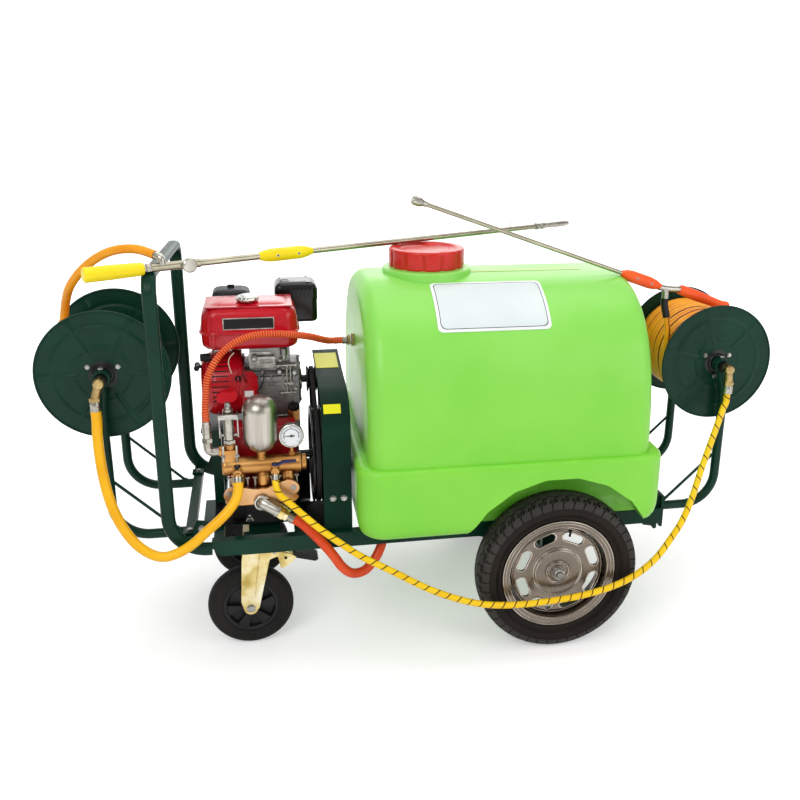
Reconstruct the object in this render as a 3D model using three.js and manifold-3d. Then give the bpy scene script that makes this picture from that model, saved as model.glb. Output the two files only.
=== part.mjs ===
// Wheeled sprayer cart, in millimetres. +X runs from the push handle to the tank's far end,
// +Z is up, and the origin lies on the ground, midway between the two hose reels.
import * as THREE from 'three';
import { mergeVertices } from 'three/addons/utils/BufferGeometryUtils.js';
import Module from 'manifold-3d';

const wasm = await Module();
wasm.setup();

// ---------------------------------------------------------------- driving dimensions
const gap = 0.3;                 // between pieces that touch
const runningGap = 0.35;         // round a shaft that turns

// Road wheels
const wheelRadius = 215;
const wheelSides = 24;
const wheelX = 305;
const wheelY = 306;              // middle of the tyre
const tyreHalfWidth = 44;
const rimFlangeRadius = 150;
const rimFlangeOut = 33.5;
const axleRadius = 10;
const axleBeam = 30;
const slotCircle = 96;
const slotCount = 8;

// Casters
const casterRadius = 112;
const casterSides = 16;
const casterY = 172;
const kingpinX = -433;
const casterTrail = 45;
const casterHalfWidth = 22;
const casterBoltRadius = 6;
const casterPlateThickness = 4;

// Frame
const hangerHeight = 65.5;
const railHeight = 40;
const railWidth = 25;
const railOuterY = 252.5;
const railWall = 3;
const railEndX = 613;
const weldDepth = 1;             // how far welded pieces run into each other
const barHeight = 24;
const bearerWidth = 24;
const endPlateThickness = 6;

// Push handle: one flat oval tube bent into a U
const handleX = -650;
const handleSkew = 20;           // the near post stands this much further out
const handleY = 245;
const handleBend = 90;
const handleFoot = 8;            // straight run beyond the bend, up to the rail
const handleCornerBend = 42;
const handleTop = 991.5;
const handleWide = 33;
const handleThick = 22;

// Reels
const reelX = 795;
const reelLeftZ = 735;
const reelRightZ = 698;
const reelSides = 16;
const flangeRadius = 158.5;
const reelHalfWidth = 127.5;
const flangeThickness = 3;
const bossRadius = 26;
const bossLength = 6.5;
const reelShaftRadius = 14;
const reelShaftBore = 9;
const reelShaftNearY = 178;
const reelShaftFarY = 172;
const swivelOffset = { left: 13, right: 4 };
const drumRadius = 97;
const standTube = 12.5;
const standY = 152;
const standBend = 88;
const socketRadius = 21;
const socketHalf = 12;
const braceRadius = 4;

// Hoses
const deliveryLeftRadius = 12.3;
const deliveryRightRadius = 8.6;
const lanceHoseLeftRadius = 10.5;
const lanceHoseRightRadius = 8.5;
const suctionRadius = 12.5;
const returnRadius = 9;
const returnValley = 7.5;
const returnBore = 5;
const returnRibs = 36;

// Tank
const tankTopAboveFloor = 611;   // crown of the shell above its underside
const tankHalfWidth = 323;
const tankLeftX = -179;
const tankRightX = 543;
const tankEdge = 45;
const tankRoundness = 2.6;
const baseHalfWidth = 339;
const baseLeftX = -207;
const baseRightX = 578;
const baseHeight = 190;
const tankWall = 7;
const archRadius = 268;
const archX = 300;
const archInnerY = 250;
const neckX = 12;
const neckRadius = 88;
const neckBore = 80;
const neckHeight = 52;
const collarRadius = 115;
const lidRadius = 98;
const collarHeight = 13;
const lidWall = 5;

// Engine and its bench
const benchTop = 547;
const benchX = [-585, -335];
const benchY = [-42, 138];
const benchLeg = 25;
const crankY = 40;
const crankZ = 652;
const blockX = [-472, -329];
const coverLeftX = -577;
const coverRadius = 86;
const fuelX = [-572, -322];
const fuelY = [-76, 86];
const fuelZ = [765, 882];
const fuelCapX = -450;
const fuelCapY = -20;

// Belt drive
const pulleyX = [-307, -257];
const enginePulleyRadius = 34;
const pumpPulleyRadius = 125;
const grooveDepth = 8;
const shaftRadius = 10;
const guardX = [-285, -215];
const guardThickness = 2.5;

// Pump
const pumpShaftY = -95;
const pumpShaftZ = 490;
const pumpX = [-515, -345];
const pumpY = [-150, -50];
const pumpZ = [405, 585];
const manifoldX = [-528, -334];
const manifoldY = -190;
const manifoldZ = [483, 531];
const suctionBodyZ = [409, 438];
const vesselX = -432;
const vesselRadius = 42;
const vesselZ = [544, 686];
const gaugeX = -358;
const gaugeZ = 580;
const gaugeRadius = 31;
const regulatorX = -507;
const regulatorRadius = 13;

// ---------------------------------------------------------------- sizes that follow
const facetLift = (radius, sides) => radius * Math.cos(Math.PI / sides);
const axleZ = facetLift(wheelRadius, wheelSides);
const casterAxleZ = facetLift(casterRadius, casterSides);
const casterAxleX = kingpinX - casterTrail;
const railBottom = axleZ + axleBeam / 2 + gap + hangerHeight;
const railTop = railBottom + railHeight;
const casterPlateTop = railBottom + weldDepth;
const casterCrownTop = casterPlateTop - 14;
const railInnerY = railOuterY - railWidth;
const deckZ = railTop + gap;
const tankTop = deckZ + tankTopAboveFloor;
const postX = (side) => handleX + side * handleSkew / 2;
const railStartX = (side) => postX(side) + handleBend + handleFoot + gap;
const SIDES = [-1, 1];           // near side first

// ---------------------------------------------------------------- building blocks
const group = new THREE.Group();

function signedVolume(geometry) {
  const at = geometry.attributes.position;
  const index = geometry.index;
  const [a, b, c] = [new THREE.Vector3(), new THREE.Vector3(), new THREE.Vector3()];
  let volume = 0;
  for (let i = 0; i < index.count; i += 3) {
    a.fromBufferAttribute(at, index.getX(i));
    b.fromBufferAttribute(at, index.getX(i + 1));
    c.fromBufferAttribute(at, index.getX(i + 2));
    volume += a.dot(b.cross(c)) / 6;
  }
  return volume;
}

// Merges shared vertices, drops slivers and turns the faces outwards.
function weld(source) {
  const bare = new THREE.BufferGeometry();
  bare.setAttribute('position', source.attributes.position.clone());
  if (source.index) bare.setIndex(source.index.clone());
  const merged = mergeVertices(bare, 1e-4);
  const old = merged.index.array;
  const kept = [];
  for (let i = 0; i < old.length; i += 3) {
    const [a, b, c] = [old[i], old[i + 1], old[i + 2]];
    if (a !== b && b !== c && a !== c) kept.push(a, b, c);
  }
  merged.setIndex(kept);
  if (signedVolume(merged) < 0) {
    for (let i = 0; i < kept.length; i += 3) [kept[i], kept[i + 1]] = [kept[i + 1], kept[i]];
    merged.setIndex(kept);
  }
  return merged;
}

function toSolid(geometry) {
  const welded = weld(geometry);
  return new wasm.Manifold(new wasm.Mesh({
    numProp: 3,
    vertProperties: new Float32Array(welded.attributes.position.array),
    triVerts: new Uint32Array(welded.index.array),
  }));
}

function toGeometry(solid) {
  const mesh = solid.getMesh();
  const geometry = new THREE.BufferGeometry();
  geometry.setAttribute('position', new THREE.BufferAttribute(mesh.vertProperties, 3));
  geometry.setIndex(new THREE.BufferAttribute(mesh.triVerts, 1));
  return geometry;
}

function join(...pieces) {
  return toGeometry(pieces.map(toSolid).reduce((whole, piece) => whole.add(piece)));
}

function cut(body, ...tools) {
  return toGeometry(tools.map(toSolid).reduce((whole, tool) => whole.subtract(tool), toSolid(body)));
}

function box(x0, x1, y0, y1, z0, z1) {
  const geometry = new THREE.BoxGeometry(x1 - x0, y1 - y0, z1 - z0);
  return geometry.translate((x0 + x1) / 2, (y0 + y1) / 2, (z0 + z1) / 2);
}

// A lathe about axis 'x', 'y' or 'z' through a point; profile holds [radius, distance along].
// The first facet faces down when turned about X or Y.
function turned(profile, axis, at, sides, closed = false) {
  const points = profile.map(([r, along]) => new THREE.Vector2(r, along));
  if (closed) points.push(points[0].clone());
  const geometry = new THREE.LatheGeometry(points, sides, Math.PI / sides);
  if (axis === 'z') geometry.rotateX(Math.PI / 2);
  if (axis === 'x') geometry.rotateZ(-Math.PI / 2);
  return geometry.translate(...at);
}

function disc(radius, from, to, axis, at, sides = 16) {
  return turned([[0, from], [radius, from], [radius, to], [0, to]], axis, at, sides);
}

function ring(inner, outer, from, to, axis, at, sides = 24) {
  return turned([[inner, from], [outer, from], [outer, to], [inner, to]], axis, at, sides, true);
}

function shapeOf(outline) {
  return new THREE.Shape(outline.map(([a, b]) => new THREE.Vector2(a, b)));
}

// Outline in X and Z, pushed along Y.
function plateXZ(outline, y0, y1) {
  const geometry = new THREE.ExtrudeGeometry(shapeOf(outline), { depth: y1 - y0, bevelEnabled: false });
  return geometry.rotateX(Math.PI / 2).translate(0, y1, 0);
}

// Outline in Y and Z, pushed along X.
function plateYZ(outline, x0, x1) {
  const geometry = new THREE.ExtrudeGeometry(shapeOf(outline), { depth: x1 - x0, bevelEnabled: false });
  const turn = new THREE.Matrix4().makeBasis(
    new THREE.Vector3(0, 1, 0), new THREE.Vector3(0, 0, 1), new THREE.Vector3(1, 0, 0));
  return geometry.applyMatrix4(turn).translate(x0, 0, 0);
}

function arc(cx, cy, radius, from, to, steps) {
  const points = [];
  for (let i = 0; i <= steps; i += 1) {
    const angle = from + (to - from) * i / steps;
    points.push([cx + radius * Math.cos(angle), cy + radius * Math.sin(angle)]);
  }
  return points;
}

function roundSection(radius, sides) {
  return new THREE.Shape(arc(0, 0, radius, 0, 2 * Math.PI * (sides - 1) / sides, sides - 1)
    .map(([a, b]) => new THREE.Vector2(a, b)));
}

// A path that keeps its own vertices, for tubes with straight runs and true bends.
class BentPath extends THREE.Curve {
  constructor(points) {
    super();
    this.points = points.map((p) => new THREE.Vector3(...p));
  }

  // The section's first axis starts upright, or along Y where the tube starts upright.
  computeFrenetFrames(segments) {
    const tangents = [];
    for (let i = 0; i <= segments; i += 1) tangents.push(this.getTangentAt(i / segments));
    const up = Math.abs(tangents[0].z) > 0.9 ? new THREE.Vector3(0, 1, 0) : new THREE.Vector3(0, 0, 1);
    const normals = [up.addScaledVector(tangents[0], -up.dot(tangents[0])).normalize()];
    for (let i = 1; i <= segments; i += 1) {
      const turn = new THREE.Quaternion().setFromUnitVectors(tangents[i - 1], tangents[i]);
      normals.push(normals[i - 1].clone().applyQuaternion(turn));
    }
    const binormals = normals.map((normal, i) => new THREE.Vector3().crossVectors(tangents[i], normal));
    return { tangents, normals, binormals };
  }

  getPointAt(u) {
    return this.points[Math.round(u * (this.points.length - 1))].clone();
  }

  getTangentAt(u) {
    const i = Math.round(u * (this.points.length - 1));
    const here = this.points[i];
    const tangent = new THREE.Vector3();
    if (i > 0) tangent.add(here.clone().sub(this.points[i - 1]).normalize());
    if (i < this.points.length - 1) tangent.add(this.points[i + 1].clone().sub(here).normalize());
    return tangent.normalize();
  }
}

function bentTube(points, section) {
  const path = new BentPath(points);
  return new THREE.ExtrudeGeometry(section,
    { steps: points.length - 1, bevelEnabled: false, extrudePath: path });
}

function hose(points, radius, steps, sides = 8) {
  const path = new THREE.CatmullRomCurve3(points.map((p) => new THREE.Vector3(...p)));
  return new THREE.ExtrudeGeometry(roundSection(radius, sides),
    { steps, bevelEnabled: false, extrudePath: path });
}

// Skins a list of rings that have equal point counts, and caps both ends.
function loft(rings) {
  const count = rings[0].length;
  const positions = rings.flat(2);
  const index = [];
  for (let i = 0; i < rings.length - 1; i += 1) {
    for (let j = 0; j < count; j += 1) {
      const [a, b] = [i * count + j, i * count + (j + 1) % count];
      index.push(a, b, a + count, b, b + count, a + count);
    }
  }
  const last = (rings.length - 1) * count;
  for (let j = 1; j < count - 1; j += 1) {
    index.push(0, j + 1, j, last, last + j, last + j + 1);
  }
  const geometry = new THREE.BufferGeometry();
  geometry.setAttribute('position', new THREE.Float32BufferAttribute(positions, 3));
  geometry.setIndex(index);
  return geometry;
}

function roundedRectangle(x0, x1, y0, y1, radius, z, steps = 2) {
  const quarter = Math.PI / 2;
  const corners = [[x1, y1, 0], [x0, y1, 1], [x0, y0, 2], [x1, y0, 3]];
  return corners.flatMap(([x, y, turn]) => {
    const cx = x + (x === x1 ? -radius : radius);
    const cy = y + (y === y1 ? -radius : radius);
    return arc(cx, cy, radius, turn * quarter, (turn + 1) * quarter, steps).map(([a, b]) => [a, b, z]);
  });
}

// A body of rounded plan outlines: levels hold [height, inset].
function moulded(x, y, radius, levels) {
  return loft(levels.map(([z, inset]) =>
    roundedRectangle(x[0] + inset, x[1] - inset, y[0] + inset, y[1] - inset,
      Math.max(radius - inset / 2, 1), z)));
}

function add(name, geometry, color, roughness = 0.5, metalness = 0) {
  const mesh = new THREE.Mesh(weld(geometry),
    new THREE.MeshStandardMaterial({ color, roughness, metalness }));
  mesh.name = name;
  group.add(mesh);
}

const PAINT = 0x1f3d30;
const BRASS = 0xc98a3c;
const ZINC = 0xb59a4e;
const STEEL = 0xb8b4ac;
const GREY = 0x8e8c88;
const BLACK = 0x191918;
const RED = 0xc8102e;
const LIME = 0x8cdf45;

// ---------------------------------------------------------------- frame
// The welded carrier: rails, bearers, caster beam with its pads, axle hangers and end plate.
function frame() {
  const railBars = SIDES.map((side) => {
    const [y0, y1] = side < 0 ? [-railOuterY, -railInnerY] : [railInnerY, railOuterY];
    const start = railStartX(side);
    const bar = plateXZ([
      [start, railTop], [start, railTop - handleWide / 2], [start + 20, railBottom],
      [railEndX, railBottom], [railEndX, railTop]], y0, y1);
    const hollow = box(start - 20, railEndX + 20, y0 + railWall, y1 - railWall,
      railBottom + railWall, railTop - railWall);
    return cut(bar, hollow);
  });
  const barZ = [railTop - barHeight, railTop];
  const innerY = railInnerY + weldDepth;
  const bearers = [railStartX(1) - 16, benchX[1] - bearerWidth, baseLeftX + 30, baseRightX - 60]
    .map((x) => box(x, x + bearerWidth, -innerY, innerY, ...barZ));
  const beamTop = railBottom + 30;
  const beam = box(kingpinX - 40, kingpinX + 40, -innerY, innerY, railBottom, beamTop);
  const pads = SIDES.map((side) => {
    const [inner, outer] = [side * (casterY - 42), side * (railOuterY - 4)];
    return box(kingpinX - 56, kingpinX + 50, Math.min(inner, outer), Math.max(inner, outer),
      casterPlateTop - casterPlateThickness, casterPlateTop);
  });
  const hangers = SIDES.map((side) => box(wheelX - 20, wheelX + 20,
    side < 0 ? -railOuterY + 2 : railInnerY + 2, side < 0 ? -railInnerY - 2 : railOuterY - 2,
    axleZ + axleBeam / 2 + gap, railBottom + weldDepth));
  const endPlate = box(railEndX - 1, railEndX + endPlateThickness, -railOuterY, railOuterY,
    railBottom - 13, railTop + 36);
  const channel = box(kingpinX - 40 + railWall, kingpinX + 40 - railWall, -railInnerY, railInnerY,
    railBottom - 1, beamTop - railWall);
  return join(...railBars, ...bearers, cut(beam, channel), ...pads, ...hangers, endPlate);
}

function axle() {
  const stub = (side) => turned([
    [0, 0], [14, 0], [14, wheelY - 38.5 - railOuterY], [axleRadius, wheelY - 38.5 - railOuterY],
    [axleRadius, 97.5], [8, 99.5], [0, 99.5]], 'y', [0, 0, 0], 12)
    .rotateX(side < 0 ? Math.PI : 0).translate(wheelX, side * railOuterY, axleZ);
  const half = axleBeam / 2;
  const beam = box(wheelX - half, wheelX + half, -railOuterY - 0.5, railOuterY + 0.5, axleZ - half,
    axleZ + half);
  return join(beam, stub(-1), stub(1));
}

const frontBarX = [handleX + 21, handleX + 21 + bearerWidth];

// The U-shaped handle and the bar that ties its feet together.
function pushHandle() {
  const quarter = Math.PI / 2;
  const footZ = railTop - handleWide / 2 - 4;
  const foot = (side) => [[railStartX(side) - gap, footZ],
    ...arc(postX(side) + handleBend, footZ + handleBend, handleBend, -quarter, -2 * quarter, 5)]
    .map(([x, z]) => [x, side * handleY, z]);
  const cornerY = handleY - handleCornerBend;
  const corner = (side) => arc(cornerY, handleTop - handleCornerBend, handleCornerBend, 0, quarter, 3)
    .map(([y, z]) => [postX(side), side * y, z]);
  const points = [...foot(-1), ...corner(-1), ...corner(1).reverse(), ...foot(1).reverse()];
  const [a, b] = [handleWide / 2, handleThick / 2];
  const section = shapeOf([
    [a, -5], [a, 5], [a - 7, b], [7 - a, b], [-a, 5], [-a, -5], [7 - a, -b], [a - 7, -b]]);
  const frontBar = box(...frontBarX, -handleY, handleY, railTop - barHeight, railTop);
  const clips = SIDES.map((side) => box(frontBarX[0] - 4, frontBarX[1] + 3,
    side * 190 - 15, side * 190 + 15, railTop - weldDepth, railTop + 6));
  return join(bentTube(points, section), frontBar, ...clips);
}

const reels = {
  left: {
    side: -1, z: reelLeftZ, standX: -reelX - 7, footX: frontBarX[0] - gap, footZ: railTop - 14,
      braceTop: 477,
  },
  right: {
    side: 1, z: reelRightZ, standX: reelX + 16, footX: railEndX + endPlateThickness + gap,
      footZ: railBottom - 1,
    braceTop: 450,
  },
};

// A J-shaped tube with its brace rod and the clamp socket that holds one end of the reel shaft.
function reelStand({ side, z, standX, footX, footZ, braceTop }, half) {
  const y = half * standY;
  const shaftX = side * reelX;
  const down = -Math.PI / 2;
  const bend = arc(standX - side * standBend, footZ + standBend, standBend, down,
    side > 0 ? 0 : 2 * down, 4)
    .map(([x, h]) => [x, y, h]);
  const tube = bentTube([[footX, y, footZ], ...bend, [standX, y, z - 70], [shaftX, y, z - 8]],
    roundSection(standTube, 8));
  const rise = braceTop - footZ - standTube + 3;
  const rod = bentTube([[standX, y, braceTop], [standX - side * rise * 1.03, y, footZ + standTube - 3]],
    roundSection(braceRadius, 6));
  const socket = disc(socketRadius, -socketHalf, socketHalf, 'y', [shaftX, y, z], 10);
  const bore = disc(reelShaftRadius + gap, -300, 300, 'y', [shaftX, 0, z], 16);
  return cut(join(tube, rod, socket), bore);
}

// ---------------------------------------------------------------- running gear
function tyre(side) {
  const bead = rimFlangeRadius - 21.6;
  const w = tyreHalfWidth;
  const r = wheelRadius;
  return turned([
    [bead, -27.4], [rimFlangeRadius + 1, -29.6], [rimFlangeRadius + 24, -w], [r - 14, -w + 2],
      [r, -w + 24],
    [r, w - 24], [r - 14, w - 2], [rimFlangeRadius + 24, w], [rimFlangeRadius + 1, 29.6], [bead, 27.4]],
  'y', [wheelX, side * wheelY, axleZ], wheelSides, true);
}

function rim(side) {
  const f = rimFlangeRadius;
  const out = rimFlangeOut;
  const profile = [
    [axleRadius + runningGap, -38], [18, -38], [18, 12], [f - 26, 16],
    [f - 26, -out + 2], [f, -out], [f - 22, -out + 6], [f - 22, out - 6],
    [f, out], [f - 26, out - 2], [f - 26, 20], [18, 16], [18, 26],
    [axleRadius + runningGap, 26]].map(([r, o]) => [r, side * o]);
  const body = turned(profile, 'y', [0, 0, 0], wheelSides, true);
  const slots = [];
  for (let i = 0; i < slotCount; i += 1) {
    const slot = plateXZ([
      [24, slotCircle - 10], [24, slotCircle + 12], [-24, slotCircle + 12], [-24, slotCircle - 10]],
        side < 0 ? -30 : 8, side < 0 ? -8 : 30);
    slots.push(slot.rotateY((i + 0.5) * 2 * Math.PI / slotCount));
  }
  return cut(body, ...slots).translate(wheelX, side * wheelY, axleZ);
}

function casterWheel(side) {
  const w = casterHalfWidth;
  const r = casterRadius;
  return turned([
    [casterBoltRadius + runningGap, -w - 1], [22, -w - 1], [22, -10], [r - 42, -10], [r - 38, -w],
    [r, -w + 7], [r, w - 7], [r - 38, w], [r - 42, 10], [22, 10], [22, w + 1],
    [casterBoltRadius + runningGap, w + 1]], 'y', [casterAxleX, side * casterY, casterAxleZ],
      casterSides, true);
}

function casterFork(side) {
  const y = side * casterY;
  const legInner = casterHalfWidth + 4;
  const legOuter = legInner + 3;
  const top = casterCrownTop;
  const outline = [
    [kingpinX - 56, top], [kingpinX + 38, top], [kingpinX + 38, top - 24], [kingpinX + 8, top - 34],
    [casterAxleX + 22, casterAxleZ - 4], ...arc(casterAxleX, casterAxleZ, 18, -0.3, -2.84, 3),
    [casterAxleX - 24, casterAxleZ + 20], [kingpinX - 62, top - 30]];
  const legs = [plateXZ(outline, y + legInner, y + legOuter),
    plateXZ(outline, y - legOuter, y - legInner)];
  const crown = box(kingpinX - 56, kingpinX + 38, y - legOuter, y + legOuter, top - 4, top);
  const race = disc(34, -1, casterPlateTop - casterPlateThickness - gap - top, 'z', [kingpinX, y, top],
    12);
  const bolt = disc(casterBoltRadius, -legOuter - 7, legOuter + 7, 'y', [casterAxleX, y, casterAxleZ], 8);
  const heads = SIDES.map((s) => disc(10, s < 0 ? -legOuter - 5 : legOuter - 1,
    s < 0 ? -legOuter + 1 : legOuter + 5,
    'y', [casterAxleX, y, casterAxleZ], 6));
  return join(...legs, crown, race, bolt, ...heads);
}

const brakePivotX = kingpinX + 21;
const brakePivotZ = casterCrownTop - 14;

function casterBrake(side) {
  const y = side * casterY;
  const [px, pz] = [brakePivotX, brakePivotZ];
  const lever = plateXZ([
    [px - 12, pz - 3], [px + 16, pz - 3], [px + 62, pz + 7], [px + 68, pz + 7], [px + 113, pz + 8],
    [px + 113, pz + 17], [px + 68, pz + 15], [px + 62, pz + 13], [px + 16, pz + 3], [px - 12, pz + 3]],
      y - 20, y + 20);
  const pin = disc(4, -casterHalfWidth - 4 + gap, casterHalfWidth + 4 - gap, 'y', [px, y, pz], 10);
  return join(lever, pin);
}

// ---------------------------------------------------------------- reels and what is wound on them
function reel({ side, z }) {
  const h = reelHalfWidth;
  const t = flangeThickness;
  const bore = reelShaftRadius + runningGap;
  const drum = drumRadius;
  const inner = drum - 4;
  return turned([
    [bore, -h - bossLength], [bossRadius, -h - bossLength], [bossRadius, -h], [flangeRadius, -h],
    [flangeRadius, -h + t], [drum, -h + t], [drum, h - t], [flangeRadius, h - t], [flangeRadius, h],
    [bossRadius, h], [bossRadius, h + bossLength], [bore, h + bossLength], [bore, h - t], [inner, h - t],
    [inner, -h + t], [bore, -h + t]], 'y', [side * reelX, 0, z], reelSides, true);
}

function reelShaft({ side, z }) {
  return ring(reelShaftBore, reelShaftRadius, -reelShaftNearY, reelShaftFarY, 'y', [side * reelX, 0, z],
    16);
}

const windings = {
  left: { turns: 4, radius: lanceHoseLeftRadius, pitch: 21.8, steps: 10, layers: 1 },
  right: { turns: 12, radius: lanceHoseRightRadius, pitch: 18.9, steps: 10, layers: 2 },
};

// The outer layer of turns: one unbroken tube whose ends run straight for one diameter.
function winding({ side, z }, { turns, radius, pitch, steps, layers }) {
  const inner = drumRadius + gap;
  const nested = Math.sqrt(4 * radius ** 2 - (pitch / 2) ** 2);
  const seat = inner + radius + (layers - 1) * nested;
  const centre = layers > 1 ? seat : seat / Math.cos(Math.PI / steps);
  const firstY = -reelHalfWidth + flangeThickness + gap + radius;
  const sides = 6;
  const rings = [];
  const centres = [];
  const place = (angle, y, ahead) => {
    const across = [Math.cos(angle), 0, Math.sin(angle)];
    const along = [-Math.sin(angle), 0, Math.cos(angle)];
    const middle = across.map((c, i) => c * centre + along[i] * ahead + (i === 1 ? y : 0));
    centres.push(new THREE.Vector3(...middle));
    rings.push(arc(0, 0, radius, 0, 2 * Math.PI * (sides - 1) / sides, sides - 1).map(([a, b]) => [
      middle[0] + across[0] * a + side * reelX, middle[1] + b, middle[2] + across[2] * a + z]));
  };
  const start = Math.PI;
  place(start, firstY, -2 * radius);
  for (let i = 0; i <= turns * steps; i += 1) {
    place(start + 2 * Math.PI * i / steps, firstY + pitch * i / steps, 0);
  }
  place(start, firstY + pitch * turns, 2 * radius);
  let least = Infinity;
  for (let i = 0; i < centres.length; i += 1) {
    for (let j = i + Math.floor(steps / 2); j < centres.length; j += 1) {
      least = Math.min(least, centres[i].distanceTo(centres[j]) - 2 * radius);
    }
  }
  const name = side < 0 ? 'left' : 'right';
  console.log(`least gap between the turns on the ${name} reel: ${least.toFixed(2)} mm`);
  if (layers === 1) return loft(rings);
  const end = reelHalfWidth - flangeThickness - gap;
  const core = seat * Math.cos(Math.PI / steps) - radius - gap;
  const innerFace = end - 5;
  const rise = centre - radius + 1.5;
  const inside = turned([
    [inner, -end], [rise, -end], [rise, -innerFace], [core, -innerFace], [core, innerFace],
      [rise, innerFace], [rise, end], [inner, end]],
  'y', [side * reelX, 0, z], reelSides, true);
  return join(loft(rings), inside);
}

const swivelY = -reelShaftNearY - gap - 16;
const swivelDrop = 66;
const swivelX = { left: -reelX - swivelOffset.left, right: reelX + swivelOffset.right };

// Where a delivery hose meets the elbow of a reel: the last points of its route.
const swivelSeat = (x, z) => [24, 12, 0].map((below) => [x, swivelY, z - swivelDrop - gap - below]);

function swivel({ side, z }, outletX) {
  const x = side * reelX;
  const y = swivelY + 2;
  const body = disc(13, -14, 14, 'y', [x, y, z], 10);
  const spigot = disc(reelShaftBore - gap, 13, 30, 'y', [x, y, z], 10);
  const leg = bentTube([[x, swivelY, z + 4], [outletX, swivelY, z - 40]], roundSection(11.5, 6));
  const crimp = bentTube([[outletX, swivelY, z - 38], [outletX, swivelY, z - swivelDrop]],
    roundSection(13, 8));
  return join(body, spigot, leg, crimp);
}

// ---------------------------------------------------------------- tank
// Upper shell: a superellipse in Y and Z whose end edges are rounded.
function shellRing(x, inset, floorZ, steps = 12) {
  const a = tankHalfWidth - inset;
  const b = tankTop - baseHeight - deckZ - inset;
  const power = 2 / tankRoundness;
  const points = [];
  for (let i = 0; i <= steps; i += 1) {
    const t = Math.PI * i / steps;
    const c = Math.cos(t);
    points.push([x, Math.sign(c) * a * Math.abs(c) ** power,
      deckZ + baseHeight + b * Math.sin(t) ** power]);
  }
  return [...points, [x, -a, floorZ], [x, a, floorZ]];
}

function upperShell(inset, floorZ) {
  const [x0, x1] = [tankLeftX + inset, tankRightX - inset];
  const edge = tankEdge - inset;
  const near = [0, 0.35, 0.75, 1].map((t) => t * Math.PI / 2);
  const left = near.map((t) => [x0 + edge * (1 - Math.sin(t)),
    inset + edge * (1 - Math.cos(t))]).reverse();
  const right = near.map((t) => [x1 - edge * (1 - Math.sin(t)), inset + edge * (1 - Math.cos(t))]);
  const ends = [...left.reverse().map(([x, i]) => [x, i]), ...right];
  return { ends, x0, x1, edge, floorZ };
}

function shellBody(inset, floorZ) {
  const { x0, x1, edge } = upperShell(inset, floorZ);
  const turns = [0, 0.45, 1].map((t) => t * Math.PI / 2);
  const left = turns.map((t) => [x0 + edge * (1 - Math.cos(t)), inset + edge * (1 - Math.sin(t))]);
  const right = turns.map((t) => [x1 - edge * (1 - Math.cos(t)),
    inset + edge * (1 - Math.sin(t))]).reverse();
  return loft([...left, ...right].map(([x, drawnIn]) => shellRing(x, drawnIn, floorZ)));
}

function tank() {
  const baseTop = deckZ + baseHeight;
  const outer = join(
    shellBody(0, baseTop - 20),
    moulded([baseLeftX, baseRightX], [-baseHalfWidth, baseHalfWidth], 60, [
      [deckZ, 30], [deckZ + 12, 10], [deckZ + 45, 0], [baseTop - 12, 0], [baseTop - 4, 4], [baseTop, 13]]),
    disc(collarRadius, -30, collarHeight, 'z', [neckX, 0, tankTop], 20),
    disc(neckRadius, -30, neckHeight, 'z', [neckX, 0, tankTop], 20));
  const arches = SIDES.map((side) => disc(archRadius, side < 0 ? -baseHalfWidth - 20 : archInnerY,
    side < 0 ? -archInnerY : baseHalfWidth + 20, 'y', [archX, 0, axleZ], 20));
  const w = tankWall;
  const archWalls = SIDES.map((side) => disc(archRadius + w,
    side < 0 ? -baseHalfWidth - 20 : archInnerY - w,
    side < 0 ? w - archInnerY : baseHalfWidth + 20, 'y', [archX, 0, axleZ], 20));
  const lower = moulded([baseLeftX + w, baseRightX - w], [w - baseHalfWidth, baseHalfWidth - w], 60 - w, [
    [deckZ + w, 27], [deckZ + w + 38, 0], [baseTop - w, 0]]);
  const inside = join(
    cut(lower, ...archWalls),
    shellBody(w, baseTop - 20),
    disc(neckBore, -60, neckHeight + 10, 'z', [neckX, 0, tankTop], 20));
  return cut(outer, ...arches, inside);
}

const lidSeatZ = tankTop + neckHeight + gap;

function tankLid() {
  const top = lidSeatZ + lidWall;
  const skirt = tankTop + collarHeight + gap;
  const bore = neckRadius / Math.cos(Math.PI / 20) + gap;
  return turned([
    [0, lidSeatZ], [bore, lidSeatZ], [bore, skirt], [lidRadius, skirt],
    [lidRadius, top + 2], [lidRadius - 4, top + 5], [lidRadius - 14, top + 5], [lidRadius - 20, top],
      [0, top]],
  'z', [neckX, 0, 0], 20);
}

const returnPort = { y: 20, z: 760 };

function returnFitting() {
  const at = [tankLeftX - gap, returnPort.y, returnPort.z];
  return join(disc(17, -4, 0, 'x', at, 12), disc(13, -14, -3, 'x', at, 6),
    disc(returnRadius + 1.5, -30, -13, 'x', at, 10));
}

// ---------------------------------------------------------------- engine
function bench() {
  const [x0, x1] = benchX;
  const [y0, y1] = benchY;
  const legs = [];
  for (const x of [railStartX(1) - 18, x1 - benchLeg]) {
    for (const y of [y0, y1 - benchLeg]) {
      legs.push(box(x, x + benchLeg, y, y + benchLeg, deckZ, benchTop - 5));
    }
  }
  const top = box(x0, x1, y0, y1, benchTop - 6, benchTop);
  const pumpBase = box(x0, x1, pumpY[0] - 20, y0 + benchLeg, deckZ, deckZ + 6);
  return join(top, ...legs, pumpBase);
}

const barrelX = [blockX[0] + 22, blockX[1] - 26];

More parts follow.
